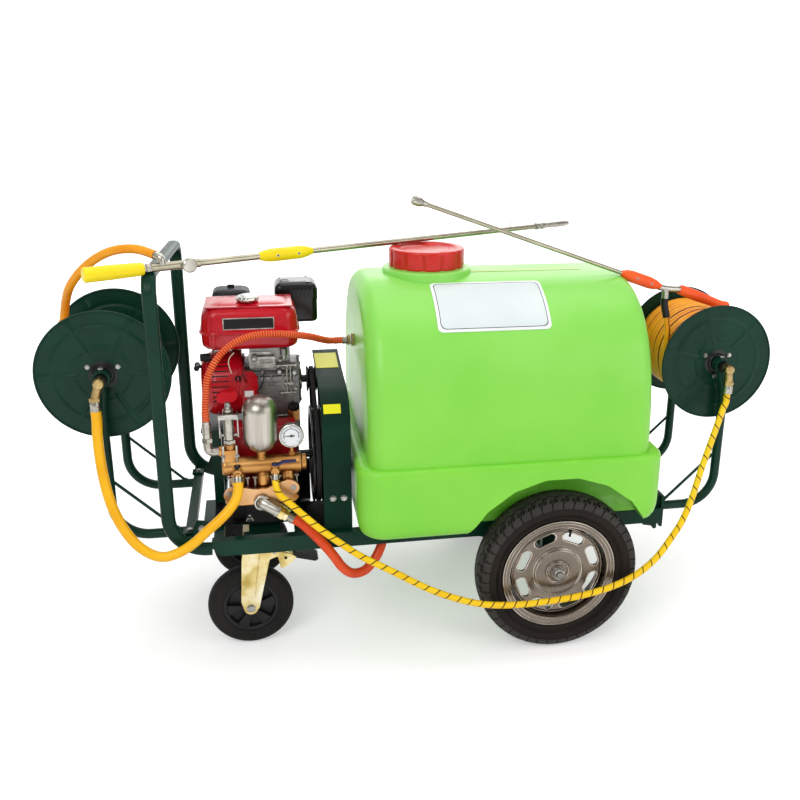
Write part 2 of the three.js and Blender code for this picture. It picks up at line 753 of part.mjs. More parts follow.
function engineBlock() {
  const [x0, x1] = blockX;
  const footZ = benchTop + gap;
  const foot = box(x0, x1, -40, 122, footZ, footZ + 14);
  const crankcase = plateYZ([
    [-30, footZ + 10], [112, footZ + 10], [120, 600], [120, 690], [100, 706], [-18, 706], [-42, 680],
      [-44, 590]], x0, x1);
  const barrel = box(...barrelX, 0, 150, -44, 44).rotateX(0.5).translate(0, crankY, crankZ + 20);
  const neck = box(x0 + 20, x1 - 20, -30, 60, 700, fuelZ[0] - gap);
  const plug = disc(13, -9, 1, 'y', [-350, -43.5, 590], 12);
  const plugGrip = box(-353, -347, -59, -51, 580, 600);
  return join(foot, crankcase, barrel, neck, plug, plugGrip);
}

function recoilCover() {
  const flat = blockX[0] - gap;
  return turned([
    [0, coverLeftX - flat], [coverRadius - 26, coverLeftX - flat],
      [coverRadius - 8, coverLeftX - flat + 10],
    [coverRadius, coverLeftX - flat + 26], [coverRadius, 0], [0, 0]], 'x', [flat, crankY, crankZ], 20);
}

const gripX = [coverLeftX - 16, coverLeftX - gap];
const gripY = -10;
const gripZ = 712;

function recoilGrip() {
  return box(...gripX, gripY - 22, gripY + 22, gripZ - 9, gripZ + 9);
}

function fuelTank() {
  const [z0, z1] = fuelZ;
  return moulded(fuelX, fuelY, 38, [
    [z0, 20], [z0 + 8, 7], [z0 + 42, 4], [z0 + 43, 0], [z0 + 48, 0], [z0 + 49, 4], [z1 - 27, 6],
    [z1 - 13, 14], [z1 - 4, 30], [z1, 46]]);
}

function fuelCap() {
  return turned([[0, 0], [27, 0], [29, 5], [27, 14], [20, 17], [0, 17]], 'z',
    [fuelCapX, fuelCapY, fuelZ[1] + gap], 16);
}

function airCleaner() {
  return join(
    moulded([-544, -444], [96, 190], 20, [[786, 4], [792, 0], [868, 0], [880, 8], [884, 18]]),
    box(barrelX[0] - 50, barrelX[0] - gap, 104, 150, 738, 790),
    disc(5, 0, 12, 'z', [-494, 143, 880], 8));
}

function muffler() {
  return join(
    moulded([-380, -267], [104, 206], 16, [[790, 8], [795, 0], [884, 0], [894, 4], [900, 16]]),
    box(barrelX[1] + gap, barrelX[1] + 24, 118, 156, 742, 794));
}

const switchRise = 34;

function engineSwitch() {
  const y = crankY - Math.sqrt(facetLift(coverRadius, 20) ** 2 - (switchRise - 7) ** 2) - gap - 0.2;
  return disc(8, -10, 0, 'y', [-483, y, crankZ + switchRise], 10);
}

// ---------------------------------------------------------------- belt drive
function pulley(radius, y, z, shaftFrom) {
  const [x0, x1] = pulleyX;
  const floor = radius - grooveDepth;
  const web = radius > 60 ? [[radius - 22, x1 - 20], [0, x1 - 20]] : [[0, x1]];
  const hub = radius > 60 ? [[shaftRadius, x0 + 20], [radius - 22, x0 + 20],
    [radius - 22, x0]] : [[shaftRadius, x0]];
  const profile = [
    [0, shaftFrom], [shaftRadius, shaftFrom], ...hub, [radius, x0],
    [radius, x0 + 5], [floor, x0 + 7], [floor, x0 + 21], [radius, x0 + 23], [radius, x0 + 27],
    [floor, x0 + 29], [floor, x1 - 7], [radius, x1 - 5], [radius, x1],
      ...(radius > 60 ? [[radius - 22, x1]] : []), ...web];
  return turned(profile, 'x', [0, y, z], radius > 60 ? 20 : 12);
}

// One endless belt: the outer outline of two arcs and their tangents, less the inner one.
function belt(groove) {
  const x0 = pulleyX[0] + 8 + 22 * groove;
  const x1 = x0 + 12;
  const dy = crankY - pumpShaftY;
  const dz = crankZ - pumpShaftZ;
  const distance = Math.hypot(dy, dz);
  const heading = Math.atan2(dz, dy);
  const steps = 11;
  const floors = [pumpPulleyRadius, enginePulleyRadius].map((radius) => radius - grooveDepth + gap);
  const wrap = Math.acos((floors[0] - floors[1]) / distance);
  const big = floors[0] / Math.cos((Math.PI - wrap) / steps);
  const small = floors[1] / Math.cos(wrap / 6);
  const lean = Math.acos((big - small) / distance);
  const outline = (lift) => [
    ...arc(pumpShaftY, pumpShaftZ, big + lift, heading + lean, heading + 2 * Math.PI - lean, steps),
    ...arc(crankY, crankZ, small + lift, heading - lean, heading + lean, 6)];
  return cut(plateYZ(outline(grooveDepth - 1.5), x0, x1), plateYZ(outline(0), x0 - 1, x1 + 1));
}

const guardY = -235;

function beltGuard() {
  const path = [[guardY, deckZ], [guardY, 600], [guardY + 7, 634], [guardY + 28, 662], [guardY + 60, 677],
    [guardY + 100, 684], [-20, 692], [120, 709]];
  const inner = path.map(([y, z], i) => (i < 2 ? [y + guardThickness, z] : [y + guardThickness * 0.7,
    z - guardThickness]));
  const band = plateYZ([...path, ...inner.reverse()], ...guardX);
  const bolts = [guardX[0] + 23, guardX[0] + 50].map((x) =>
    disc(7, -5, 1, 'y', [x, guardY, 421], 8));
  const stay = box(guardX[1] - 6, guardX[1], -60, -30, deckZ, 688);
  return join(band, ...bolts, stay);
}

// ---------------------------------------------------------------- pump
function pumpCrankcase() {
  const [x0, x1] = pumpX;
  const [y0, y1] = pumpY;
  const [z0, z1] = pumpZ;
  const body = plateYZ([
    [y0, z0 + 10], [y0 + 10, z0], [y1 - 10, z0], [y1, z0 + 10], [y1, z1 - 24], [y1 - 22, z1],
      [y0 + 22, z1], [y0, z1 - 24]],
  x0, x1);
  const feet = [x0 + 6, x1 - 34].map((x) => box(x, x + 28, y0 + 4, y1 - 4, deckZ + 6 + gap, z0 + 2));
  const plungers = [0, 1, 2].map((i) => disc(17, y0 - 15, y0 + 2, 'y', [-490 + 60 * i, 0, 460], 8));
  return join(body, ...feet, ...plungers);
}

const tapZ = 501;
const tapX = { left: -491, right: -401 };
const tapFrontY = -232;
const tapRadius = { left: 13, right: 9.5 };
const leverY = -223.5;
const leverZ = 516;
const suctionEnd = [-361, manifoldY - 58, 379];
const suctionSlope = [0.841, -0.192, -0.505];
const returnSeat = [manifoldX[0] - 32, manifoldY, 627];

// Where a delivery hose leaves its tap: the first points of its route.
const tapSeat = (x) => [0.3, 8, 16].map((ahead) => [x, tapFrontY - 3 - ahead * 0.447,
  tapZ - 20 - ahead * 0.894]);

function pumpManifold() {
  const [x0, x1] = manifoldX;
  const [z0, z1] = manifoldZ;
  const y = manifoldY;
  const midZ = (z0 + z1) / 2;
  const bar = disc(25, x0, x1, 'x', [0, y, midZ], 8);
  const chambers = [0, 1, 2].map((i) => disc(20, suctionBodyZ[0] + 4, z0 + 10, 'z',
    [-490 + 60 * i, y, 0], 6));
  const sleeves = [0, 1, 2].map((i) => disc(15, y, pumpY[0] - 15 - gap, 'y', [-490 + 60 * i, 0, 460], 6));
  const suctionBody = box(x0 + 2, x1 - 10, y - 22, y + 22, ...suctionBodyZ);
  const cap = disc(20, x1 - 2, x1 + 12, 'x', [0, y, midZ], 8);
  const regulatorSeat = box(x0 + 2, x0 + 38, y - 18, y + 18, z1 - 10, 567);
  const vesselNeck = disc(14, z1 - 8, vesselZ[0] - gap, 'z', [vesselX, y, 0], 8);
  const gaugeStem = disc(6, z1 - 8, gaugeZ - facetLift(gaugeRadius, 16), 'z', [gaugeX, y, 0], 8);
  const taps = Object.values(tapX).map((x) => disc(12, tapFrontY, y, 'y', [x, 0, tapZ], 8));
  const stems = Object.values(tapX).map((x) => disc(6, tapZ, leverZ - gap, 'z', [x, leverY, 0], 8));
  const outlets = ['left', 'right'].map((end) => bentTube([
    [tapX[end], tapFrontY + 6, tapZ - 2], [tapX[end], tapFrontY - 3, tapZ - 20]],
      roundSection(tapRadius[end], 8)));
  const before = suctionEnd.map((v, i) => v - 41 * suctionSlope[i]);
  const suctionElbow = bentTube([
    [-436, y - 10, 420], [-436, y - 34, 420], [-428, y - 44, 417], before, suctionEnd],
      roundSection(13.5, 8));
  const returnElbow = bentTube([
    [x0 + 6, y, 546], [x0 - 20, y, 546], [x0 - 29, y, 550], [x0 - 32, y, 560], returnSeat],
      roundSection(11, 8));
  return join(bar, ...chambers, ...sleeves, suctionBody, cap, regulatorSeat, vesselNeck, gaugeStem,
    ...taps, ...stems, ...outlets, suctionElbow, returnElbow);
}

function airVessel() {
  const [z0, z1] = vesselZ;
  const r = vesselRadius;
  return turned([
    [0, z0], [16, z0], [r * 0.8, z0 + 14], [r, z0 + 38], [r, z1 - 36], [r * 0.84, z1 - 14],
      [r * 0.45, z1 - 3], [0, z1]],
  'z', [vesselX, manifoldY, 0], 16);
}

function pressureGauge() {
  const r = gaugeRadius;
  return turned([
    [0, -8], [r - 4, -8], [r - 4, -12], [r, -12], [r, 10], [r - 5, 14], [0, 14]], 'y',
  [gaugeX, manifoldY, gaugeZ + gap], 16);
}

function gaugeNeedle() {
  const y = manifoldY - 8 - gap;
  return join(disc(3.2, y - 2.4, y, 'y', [gaugeX, 0, gaugeZ + gap], 8),
    plateXZ([[gaugeX - 22, gaugeZ + gap], [gaugeX, gaugeZ - 1.6], [gaugeX + 8, gaugeZ - 1.6],
      [gaugeX + 8, gaugeZ + 2.2],
      [gaugeX, gaugeZ + 2.2]], y - 2, y - 0.8));
}

function regulator() {
  const at = [regulatorX, manifoldY, 0];
  return join(
    disc(16, 567 + gap, 578, 'z', at, 8), disc(regulatorRadius, 576, 656, 'z', at, 14),
    disc(8, 655, 672, 'z', at, 8), disc(4, -regulatorRadius - 7, regulatorRadius + 7, 'x',
      [at[0], at[1], 588], 8));
}

const leverPivotZ = 588;

// A fork that straddles the regulator and lifts its spring.
function regulatorLever() {
  const inner = regulatorRadius + 7 + gap;
  const arms = SIDES.map((s) => box(
    s < 0 ? regulatorX - inner - 3 : regulatorX + inner,
      s < 0 ? regulatorX - inner : regulatorX + inner + 3,
    manifoldY - 6, manifoldY + 6, leverPivotZ - 6, 648));
  const bridge = box(regulatorX - inner - 3, regulatorX + inner + 3, manifoldY - 24, manifoldY - 18,
    636, 648);
  const links = SIDES.map((s) => box(
    s < 0 ? regulatorX - inner - 3 : regulatorX + inner,
      s < 0 ? regulatorX - inner : regulatorX + inner + 3,
    manifoldY - 24, manifoldY - 4, 636, 648));
  return join(...arms, ...links, bridge);
}

// A lever on the stem of an outlet tap, drawn along +X and then turned about the stem.
function outletLever(x, reach, heading) {
  const bent = plateXZ([
    [-5, 0], [12, 0], [20, 5], [reach, 7], [reach, 11], [18, 10], [10, 5], [-5, 5]], -5, 5);
  return join(disc(8, 0, 5, 'z', [0, 0, 0], 10), bent).rotateZ(heading).translate(x, leverY, leverZ);
}

// ---------------------------------------------------------------- lances
// A lance is turned about its own line; profile holds [distance along, radius].
function lance(from, to, profile, sides, extras) {
  const start = new THREE.Vector3(...from);
  const direction = new THREE.Vector3(...to).sub(start).normalize();
  const turn = new THREE.Quaternion().setFromUnitVectors(new THREE.Vector3(0, 1, 0), direction);
  const last = profile[profile.length - 1][0];
  const points = [[0, 0], ...profile.map(([along, r]) => [r, along]), [0, last]];
  const body = turned(points, 'y', [0, 0, 0], sides);
  const whole = extras.length > 0 ? join(body, ...extras) : body;
  return whole.applyMatrix4(new THREE.Matrix4().compose(start, turn, new THREE.Vector3(1, 1, 1)));
}

// The left lance lies across the handle's corner and the lid's rim; the right one on the tank.
const onHandle = handleTop + 17.17;
const onLid = tankTop + 69.68;
const lanceRise = (onLid - onHandle) / 0.458;
const lanceLeftFrom = [-788, -286, onHandle - 0.107 * lanceRise];
const lanceLeftTo = [496, 299, onHandle + 0.893 * lanceRise];
const overTank = (height) => tankTop + height;
const hoseTop = overTank(-73.26);

// The valve's inlet stands up and turns towards the reel.
const inletFoot = [-630, -214.2, onHandle + 4.33];
const inletKnee = [-630, -214.2, onHandle + 21.33];
const inletSlope = [-0.8, 0.553, 0.232];
const inletEnd = inletKnee.map((v, i) => v + 18 * inletSlope[i]);

function lanceLeft() {
  const rod = lance(lanceLeftFrom, lanceLeftTo, [
    [0, 17], [120, 14], [150, 11], [151, 10], [262, 10], [263, 7.8], [412, 7.8],
    [430, 16], [530, 16], [552, 7.6], [1280, 7.2], [1281, 10], [1316, 9], [1318, 6.5], [1366, 8.5],
      [1410, 5]],
  8, [disc(17, 0, 14, 'x', [8, 232, 0], 12)]);
  return join(rod, bentTube([inletFoot, inletKnee, inletEnd], roundSection(lanceHoseLeftRadius - 1.5, 8)));
}

const lanceRightFrom = [-47, -120, overTank(197.74)];
const lanceRightTo = [508, -92, overTank(1.64)];

function lanceRight() {
  const gripStart = 601;
  const tube = lance(lanceRightFrom, lanceRightTo, [
    [0, 12], [22, 12], [40, 5.6], [gripStart - 4, 5.6], [gripStart + 16, 16],
    [gripStart + 90, 16], [gripStart + 118, 7], [gripStart + 140, 7]], 8, []);
  const rear = lance([684, -81, overTank(-50.06)], [846, -56, overTank(-111.76)], [
    [0, 8], [6, 8], [7, 14], [60, 15], [156, 12.5], [158, 15], [172, 15]], 8, []);
  const yoke = bentTube([
    [628, -86, overTank(-43.76)], [660, -84, overTank(-49.06)], [690, -80, overTank(-51.96)]],
  roundSection(8, 6));
  const stub = bentTube([[646, -86, overTank(-46.26)], [646, -86, hoseTop]], roundSection(9, 8));
  return join(tube, rear, yoke, stub);
}

// ---------------------------------------------------------------- hose routes, chosen by hand
const deliveryLeftRoute = [
  ...tapSeat(tapX.left), [-497, -252, 446], [-515, -262, 422], [-542, -271, 398], [-567, -277, 379],
    [-605, -281, 347],
  [-643, -282, 326], [-674, -282, 320], [-701, -281, 329], [-732, -278, 355], [-762, -271, 401],
    [-784, -258, 455],
  [-797, -241, 508], [-805, -222, 566], [-808, -206, 612], ...swivelSeat(swivelX.left, reelLeftZ)];
const deliveryRightRoute = [
  ...tapSeat(tapX.right), [-393, -249, 448], [-368, -258, 425], [-334, -273, 395], [-294, -288, 361],
    [-251, -302, 330],
  [-208, -315, 301], [-131, -336, 262], [-35, -356, 211], [36, -365, 182], [100, -370, 164],
    [177, -371, 155],
  [266, -371, 156], [363, -371, 165], [446, -370, 184], [508, -365, 209], [564, -352, 245],
    [607, -335, 287],
  [646, -313, 326], [681, -286, 377], [715, -256, 444], [749, -229, 508], [776, -209, 562],
    [791, -198, 592],
  ...swivelSeat(swivelX.right, reelRightZ)];
const leftRun = drumRadius + lanceHoseLeftRadius + 2;
const lanceHoseLeftRoute = [
  [-reelX - leftRun * Math.cos(0.36), -3, reelLeftZ - leftRun * Math.sin(0.36)],
  [-reelX - leftRun, -3, reelLeftZ], [-904, -3, reelLeftZ + 55], [-898, -4, reelLeftZ + 90],
  [-890, -12, reelLeftZ + 126], [-879, -32, reelLeftZ + 164], [-861, -60, reelLeftZ + 203],
  [-825, -92, onHandle - 26.7], [-783, -122, onHandle + 7.3], [-744, -150, onHandle + 27.3],
  [-708, -172, onHandle + 35.3], [-680, -183, onHandle + 34.8],
  ...[16, 8, gap].map((ahead) => inletEnd.map((v, i) => v + ahead * inletSlope[i]))];
const lanceHoseRightRoute = [
  [646, -86, hoseTop - gap], [646, -86, hoseTop - 10], [647, -87, hoseTop - 22],
  [654, -91, hoseTop - 54], [657, -98, hoseTop - 92], [655.5, -100, hoseTop - 132],
  [655.5, -100, hoseTop - 172], [657, -99, hoseTop - 207]];
const returnRoute = [
  [returnSeat[0], manifoldY, returnSeat[2] + gap], [returnSeat[0], manifoldY, 640],
    [returnSeat[0], manifoldY, 654],
  [-557, -189, 690], [-551, -187, 730], [-534, -180, 766], [-512, -168, 792], [-476, -150, 813],
    [-435, -133, 822],
  [-385, -120, 820], [-337, -98, 810], [-300, -66, 796], [-268, -22, 776], [-247, 10, 763],
  [-232, 19, returnPort.z], [-221, returnPort.y, returnPort.z],
    [tankLeftX - 2 * gap - 30, returnPort.y, returnPort.z]];
const suctionRoute = [
  ...[gap, 8, 16].map((ahead) => suctionEnd.map((v, i) => v + ahead * suctionSlope[i])),
  [-325, -259, 352], [-296, -270, 322], [-268, -276, 285], [-245, -276, 249], [-220, -268, 226],
    [-188, -252, 222],
  [-160, -234, 241], [-141, -220, 270], [-134, -213, 296], [-133, -212, 310], [-133, -212, 322],
  [-133, -212, deckZ - gap]];

function ribbedHose(route) {
  const path = new THREE.CatmullRomCurve3(route.map((p) => new THREE.Vector3(...p)));
  const rings = 2 * returnRibs + 2;
  const points = path.getSpacedPoints(rings - 1);
  const frames = path.computeFrenetFrames(rings - 1, false);
  const sides = 6;
  const ringAt = (i, radius) => arc(0, 0, radius, 0, 2 * Math.PI * (sides - 1) / sides,
    sides - 1).map(([a, b]) =>
    points[i].clone().addScaledVector(frames.normals[i], a).addScaledVector(frames.binormals[i],
      b).toArray());
  const outer = [];
  const inner = [];
  for (let i = 0; i < rings; i += 1) {
    const end = i < 4 || i >= rings - 4;
    outer.push(ringAt(i, end || i % 2 === 0 ? returnRadius : returnValley));
    if (i % 8 === 0 || i === rings - 1) inner.push(ringAt(i, returnBore));
  }
  const loop = [...outer, ...inner.reverse()];
  const index = [];
  for (let i = 0; i < loop.length; i += 1) {
    const next = (i + 1) % loop.length;
    for (let j = 0; j < sides; j += 1) {
      const [a, b] = [i * sides + j, i * sides + (j + 1) % sides];
      const [c, d] = [next * sides + j, next * sides + (j + 1) % sides];
      index.push(a, b, c, b, d, c);
    }
  }
  const geometry = new THREE.BufferGeometry();
  geometry.setAttribute('position', new THREE.Float32BufferAttribute(loop.flat(2), 3));
  geometry.setIndex(index);
  return geometry;
}

// ---------------------------------------------------------------- the assembly
add('frame', frame(), PAINT);
add('axle', axle(), GREY, 0.35, 1);
add('push_handle', pushHandle(), PAINT);
for (const side of SIDES) {
  const where = side < 0 ? 'near' : 'far';
  add(`tyre_${where}`, tyre(side), 0x2c2724, 0.85);
  add(`rim_${where}`, rim(side), 0x6e625a, 0.4, 0.8);
  add(`caster_fork_${where}`, casterFork(side), ZINC, 0.35, 0.9);
  add(`caster_wheel_${where}`, casterWheel(side), BLACK, 0.7);
  add(`caster_brake_${where}`, casterBrake(side), BLACK, 0.6);
  add(`reel_stand_left_${where}`, reelStand(reels.left, side), PAINT);
  add(`reel_stand_right_${where}`, reelStand(reels.right, side), PAINT);
}
add('reel_left', reel(reels.left), PAINT, 0.3);
add('reel_right', reel(reels.right), PAINT, 0.3);
add('reel_shaft_left', reelShaft(reels.left), BLACK, 0.4, 0.6);
add('reel_shaft_right', reelShaft(reels.right), BLACK, 0.4, 0.6);
add('hose_winding_left', winding(reels.left, windings.left), 0xf2951d, 0.5);
add('hose_winding_right', winding(reels.right, windings.right), 0xf2951d, 0.5);
add('reel_swivel_left', swivel(reels.left, swivelX.left), BRASS, 0.35, 1);
add('reel_swivel_right', swivel(reels.right, swivelX.right), BRASS, 0.35, 1);
add('delivery_hose_left', hose(deliveryLeftRoute, deliveryLeftRadius, 21), 0xfdc31a);
add('delivery_hose_right', hose(deliveryRightRoute, deliveryRightRadius, 26), 0xfdc31a);
add('lance_hose_left', hose(lanceHoseLeftRoute, lanceHoseLeftRadius, 15), 0xf2951d);
add('lance_hose_right', hose(lanceHoseRightRoute, lanceHoseRightRadius, 9), 0xfdc31a);
add('return_hose', ribbedHose(returnRoute), 0xe4561f);
add('suction_hose', hose(suctionRoute, suctionRadius, 15), 0xdb3f14);
add('tank', tank(), LIME, 0.35);
add('tank_lid', tankLid(), 0xd42a1e, 0.4);
add('return_fitting', returnFitting(), BRASS, 0.35, 1);
add('engine_bench', bench(), PAINT);
add('engine_block', engineBlock(), GREY, 0.5, 0.6);
add('recoil_cover', recoilCover(), RED, 0.35);
add('recoil_grip', recoilGrip(), BLACK, 0.6);
add('fuel_tank', fuelTank(), RED, 0.25);
add('fuel_cap', fuelCap(), STEEL, 0.25, 1);
add('air_cleaner', airCleaner(), BLACK, 0.5);
add('muffler', muffler(), BLACK, 0.5);
add('engine_switch', engineSwitch(), BLACK, 0.5);
add('engine_pulley', pulley(enginePulleyRadius, crankY, crankZ, blockX[1] + gap), BLACK, 0.4, 0.6);
add('pump_pulley', pulley(pumpPulleyRadius, pumpShaftY, pumpShaftZ, pumpX[1] + gap), BLACK, 0.4, 0.6);
add('drive_belt_inner', belt(0), 0x222222, 0.8);
add('drive_belt_outer', belt(1), 0x222222, 0.8);
add('belt_guard', beltGuard(), PAINT);
add('pump_crankcase', pumpCrankcase(), 0xb01020, 0.45);
add('pump_manifold', pumpManifold(), BRASS, 0.3, 1);
add('air_vessel', airVessel(), STEEL, 0.3, 1);
add('pressure_gauge', pressureGauge(), STEEL, 0.3, 1);
add('gauge_needle', gaugeNeedle(), BLACK, 0.6);
add('pressure_regulator', regulator(), STEEL, 0.3, 1);
add('regulator_lever', regulatorLever(), STEEL, 0.3, 1);
add('outlet_lever_left', outletLever(tapX.left, 34, -Math.PI / 2), BLACK, 0.5);
add('outlet_lever_right', outletLever(tapX.right, 51, 0), 0x26264a, 0.5);
add('lance_left', lanceLeft(), STEEL, 0.25, 1);
add('lance_right', lanceRight(), STEEL, 0.25, 1);

export default group;
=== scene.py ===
# A motor sprayer on a four-wheeled cart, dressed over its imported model. Lengths are in millimetres
# inside the helpers and become metres where the vertices are made.
import math
import bpy
import bmesh
from mathutils import Matrix, Vector


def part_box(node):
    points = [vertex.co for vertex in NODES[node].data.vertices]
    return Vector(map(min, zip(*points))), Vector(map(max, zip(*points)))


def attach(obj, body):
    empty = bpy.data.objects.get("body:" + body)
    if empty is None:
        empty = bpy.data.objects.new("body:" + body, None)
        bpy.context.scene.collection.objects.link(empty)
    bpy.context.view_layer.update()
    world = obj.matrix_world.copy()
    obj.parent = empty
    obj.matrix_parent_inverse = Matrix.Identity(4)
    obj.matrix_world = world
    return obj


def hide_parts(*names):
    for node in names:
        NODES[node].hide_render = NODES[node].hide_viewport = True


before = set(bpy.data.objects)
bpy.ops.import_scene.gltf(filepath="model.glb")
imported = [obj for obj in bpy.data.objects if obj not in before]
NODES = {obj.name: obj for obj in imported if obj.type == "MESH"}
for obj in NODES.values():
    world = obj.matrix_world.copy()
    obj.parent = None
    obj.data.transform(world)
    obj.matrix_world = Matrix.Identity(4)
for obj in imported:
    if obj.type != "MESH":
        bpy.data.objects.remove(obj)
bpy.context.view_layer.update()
MM = 0.001
TAU = 2 * math.pi
SIDES = ((-1, "near"), (1, "far"))
scene = bpy.context.scene

# ---------------------------------------------------------------- camera
camera_data = bpy.data.cameras.new("camera")
camera_data.sensor_width = 36
camera_data.lens = 41.144
camera_data.shift_x = -0.0478
camera_data.shift_y = -0.0167
camera_data.clip_end = 60
camera = bpy.data.objects.new("camera", camera_data)
scene.collection.objects.link(camera)
right = Vector((0.981896, -0.188979, 0.012902))
up = Vector((0.046428, 0.306145, 0.950852))
ahead = Vector((0.183641, 0.933039, -0.309376))
turned = Matrix((right, up, -ahead)).transposed().to_4x4()
camera.matrix_world = Matrix.Translation((-0.41059, -2.32889, 1.3962)) @ turned
scene.camera = camera


# ---------------------------------------------------------------- mesh helpers
def v3(p):
    return Vector((p[0], p[1], p[2]))


def arc(cx, cy, r, a0, a1, steps):
    return [(cx + r * math.cos(a0 + (a1 - a0) * i / steps), cy + r * math.sin(a0 + (a1 - a0) * i / steps))
            for i in range(steps + 1)]


def circle(r, n=20, squash=1.0):
    return [(r * math.cos(TAU * i / n), r * squash * math.sin(TAU * i / n)) for i in range(n)]


def soften(points, r, steps=3, closed=False, least=0.3):
    """Rounds each corner of a profile with a small curve."""
    out = []
    n = len(points)
    for i, p in enumerate(points):
        if not closed and i in (0, n - 1):
            out.append(p)
            continue
        a, b, c = Vector(points[i - 1]), Vector(p), Vector(points[(i + 1) % n])
        ab, bc = a - b, c - b
        if ab.length < 1e-6 or bc.length < 1e-6:
            out.append(p)
            continue
        if abs(math.pi - ab.angle(bc)) < least:
            out.append(p)
            continue
        d = min(r, 0.45 * ab.length, 0.45 * bc.length)
        p0, p2 = b + ab.normalized() * d, b + bc.normalized() * d
        for k in range(steps + 1):
            t = k / steps
            q = (1 - t) ** 2 * p0 + 2 * t * (1 - t) * b + t * t * p2
            out.append(tuple(q))
    return out


def mirrored(half):
    """A profile of (radius, distance) with its mirror image behind it."""
    return half + [(r, -a) for r, a in reversed(half)]


def catmull(points, spacing=4.0):
    """The centripetal curve through the points, as evenly spaced points."""
    pts = [v3(p) for p in points]
    dense = []
    for i in range(len(pts) - 1):
        p1, p2 = pts[i], pts[i + 1]
        p0 = pts[i - 1] if i else 2 * p1 - p2
        p3 = pts[i + 2] if i + 2 < len(pts) else 2 * p2 - p1
        d0, d1, d2 = (max((b - a).length_squared, 1e-9) ** 0.25 for a, b in ((p0, p1), (p1, p2), (p2, p3)))
        t1 = ((p1 - p0) / d0 - (p2 - p0) / (d0 + d1) + (p2 - p1) / d1) * d1
        t2 = ((p2 - p1) / d1 - (p3 - p1) / (d1 + d2) + (p3 - p2) / d2) * d1
        for k in range(40):
            t = k / 40
            dense.append((2 * t**3 - 3 * t**2 + 1) * p1 + (t**3 - 2 * t**2 + t) * t1
                         + (3 * t**2 - 2 * t**3) * p2 + (t**3 - t**2) * t2)
    dense.append(pts[-1])
    return even(dense, spacing)


def run_length(points):
    return sum((b - a).length for a, b in zip(points, points[1:]))


def even(points, spacing):
    total = run_length(points)
    count = max(2, round(total / spacing))
    out = [points[0].copy()]
    walked, target = 0.0, total / count
    for a, b in zip(points, points[1:]):
        step = (b - a).length
        while step > 1e-9 and walked + step >= target - 1e-9 and len(out) < count:
            out.append(a.lerp(b, (target - walked) / step))
            target += total / count
        walked += step
    out.append(points[-1].copy())
    return out


def bent(points, radius, steps=8):
    """A path of straight runs with rounded bends."""
    pts = [v3(p) for p in points]
    out = [pts[0]]
    for a, b, c in zip(pts, pts[1:], pts[2:]):
        ab, cb = (a - b), (c - b)
        d = min(radius, 0.49 * ab.length, 0.49 * cb.length)
        p0, p2 = b + ab.normalized() * d, b + cb.normalized() * d
        for k in range(steps + 1):
            t = k / steps
            out.append((1 - t) ** 2 * p0 + 2 * t * (1 - t) * b + t * t * p2)
    out.append(pts[-1])
    return out


def turned_at(at, angle, axis):
    return Matrix.Translation(at) @ Matrix.Rotation(angle, 4, axis)


def weigh_normals(obj):
    obj.modifiers.new("normals", "WEIGHTED_NORMAL").keep_sharp = True


def mark_sharp(bm, sharp):
    for e in bm.edges:
        e.smooth = len(e.link_faces) != 2 or e.calc_face_angle(0) < sharp


def bevel_edges(obj, width, segments, degrees):
    b = obj.modifiers.new("bevel", "BEVEL")
    b.width = width
    b.segments = segments
    b.limit_method = "ANGLE"
    b.angle_limit = math.radians(degrees)
    b.use_clamp_overlap = True


def add_object(name, bm, materials=()):
    """Turns a finished bmesh into an object of the scene."""
    mesh = bpy.data.meshes.new(name)
    bm.to_mesh(mesh)
    bm.free()
    for m in materials:
        mesh.materials.append(m)
    obj = bpy.data.objects.new(name, mesh)
    scene.collection.objects.link(obj)
    return obj


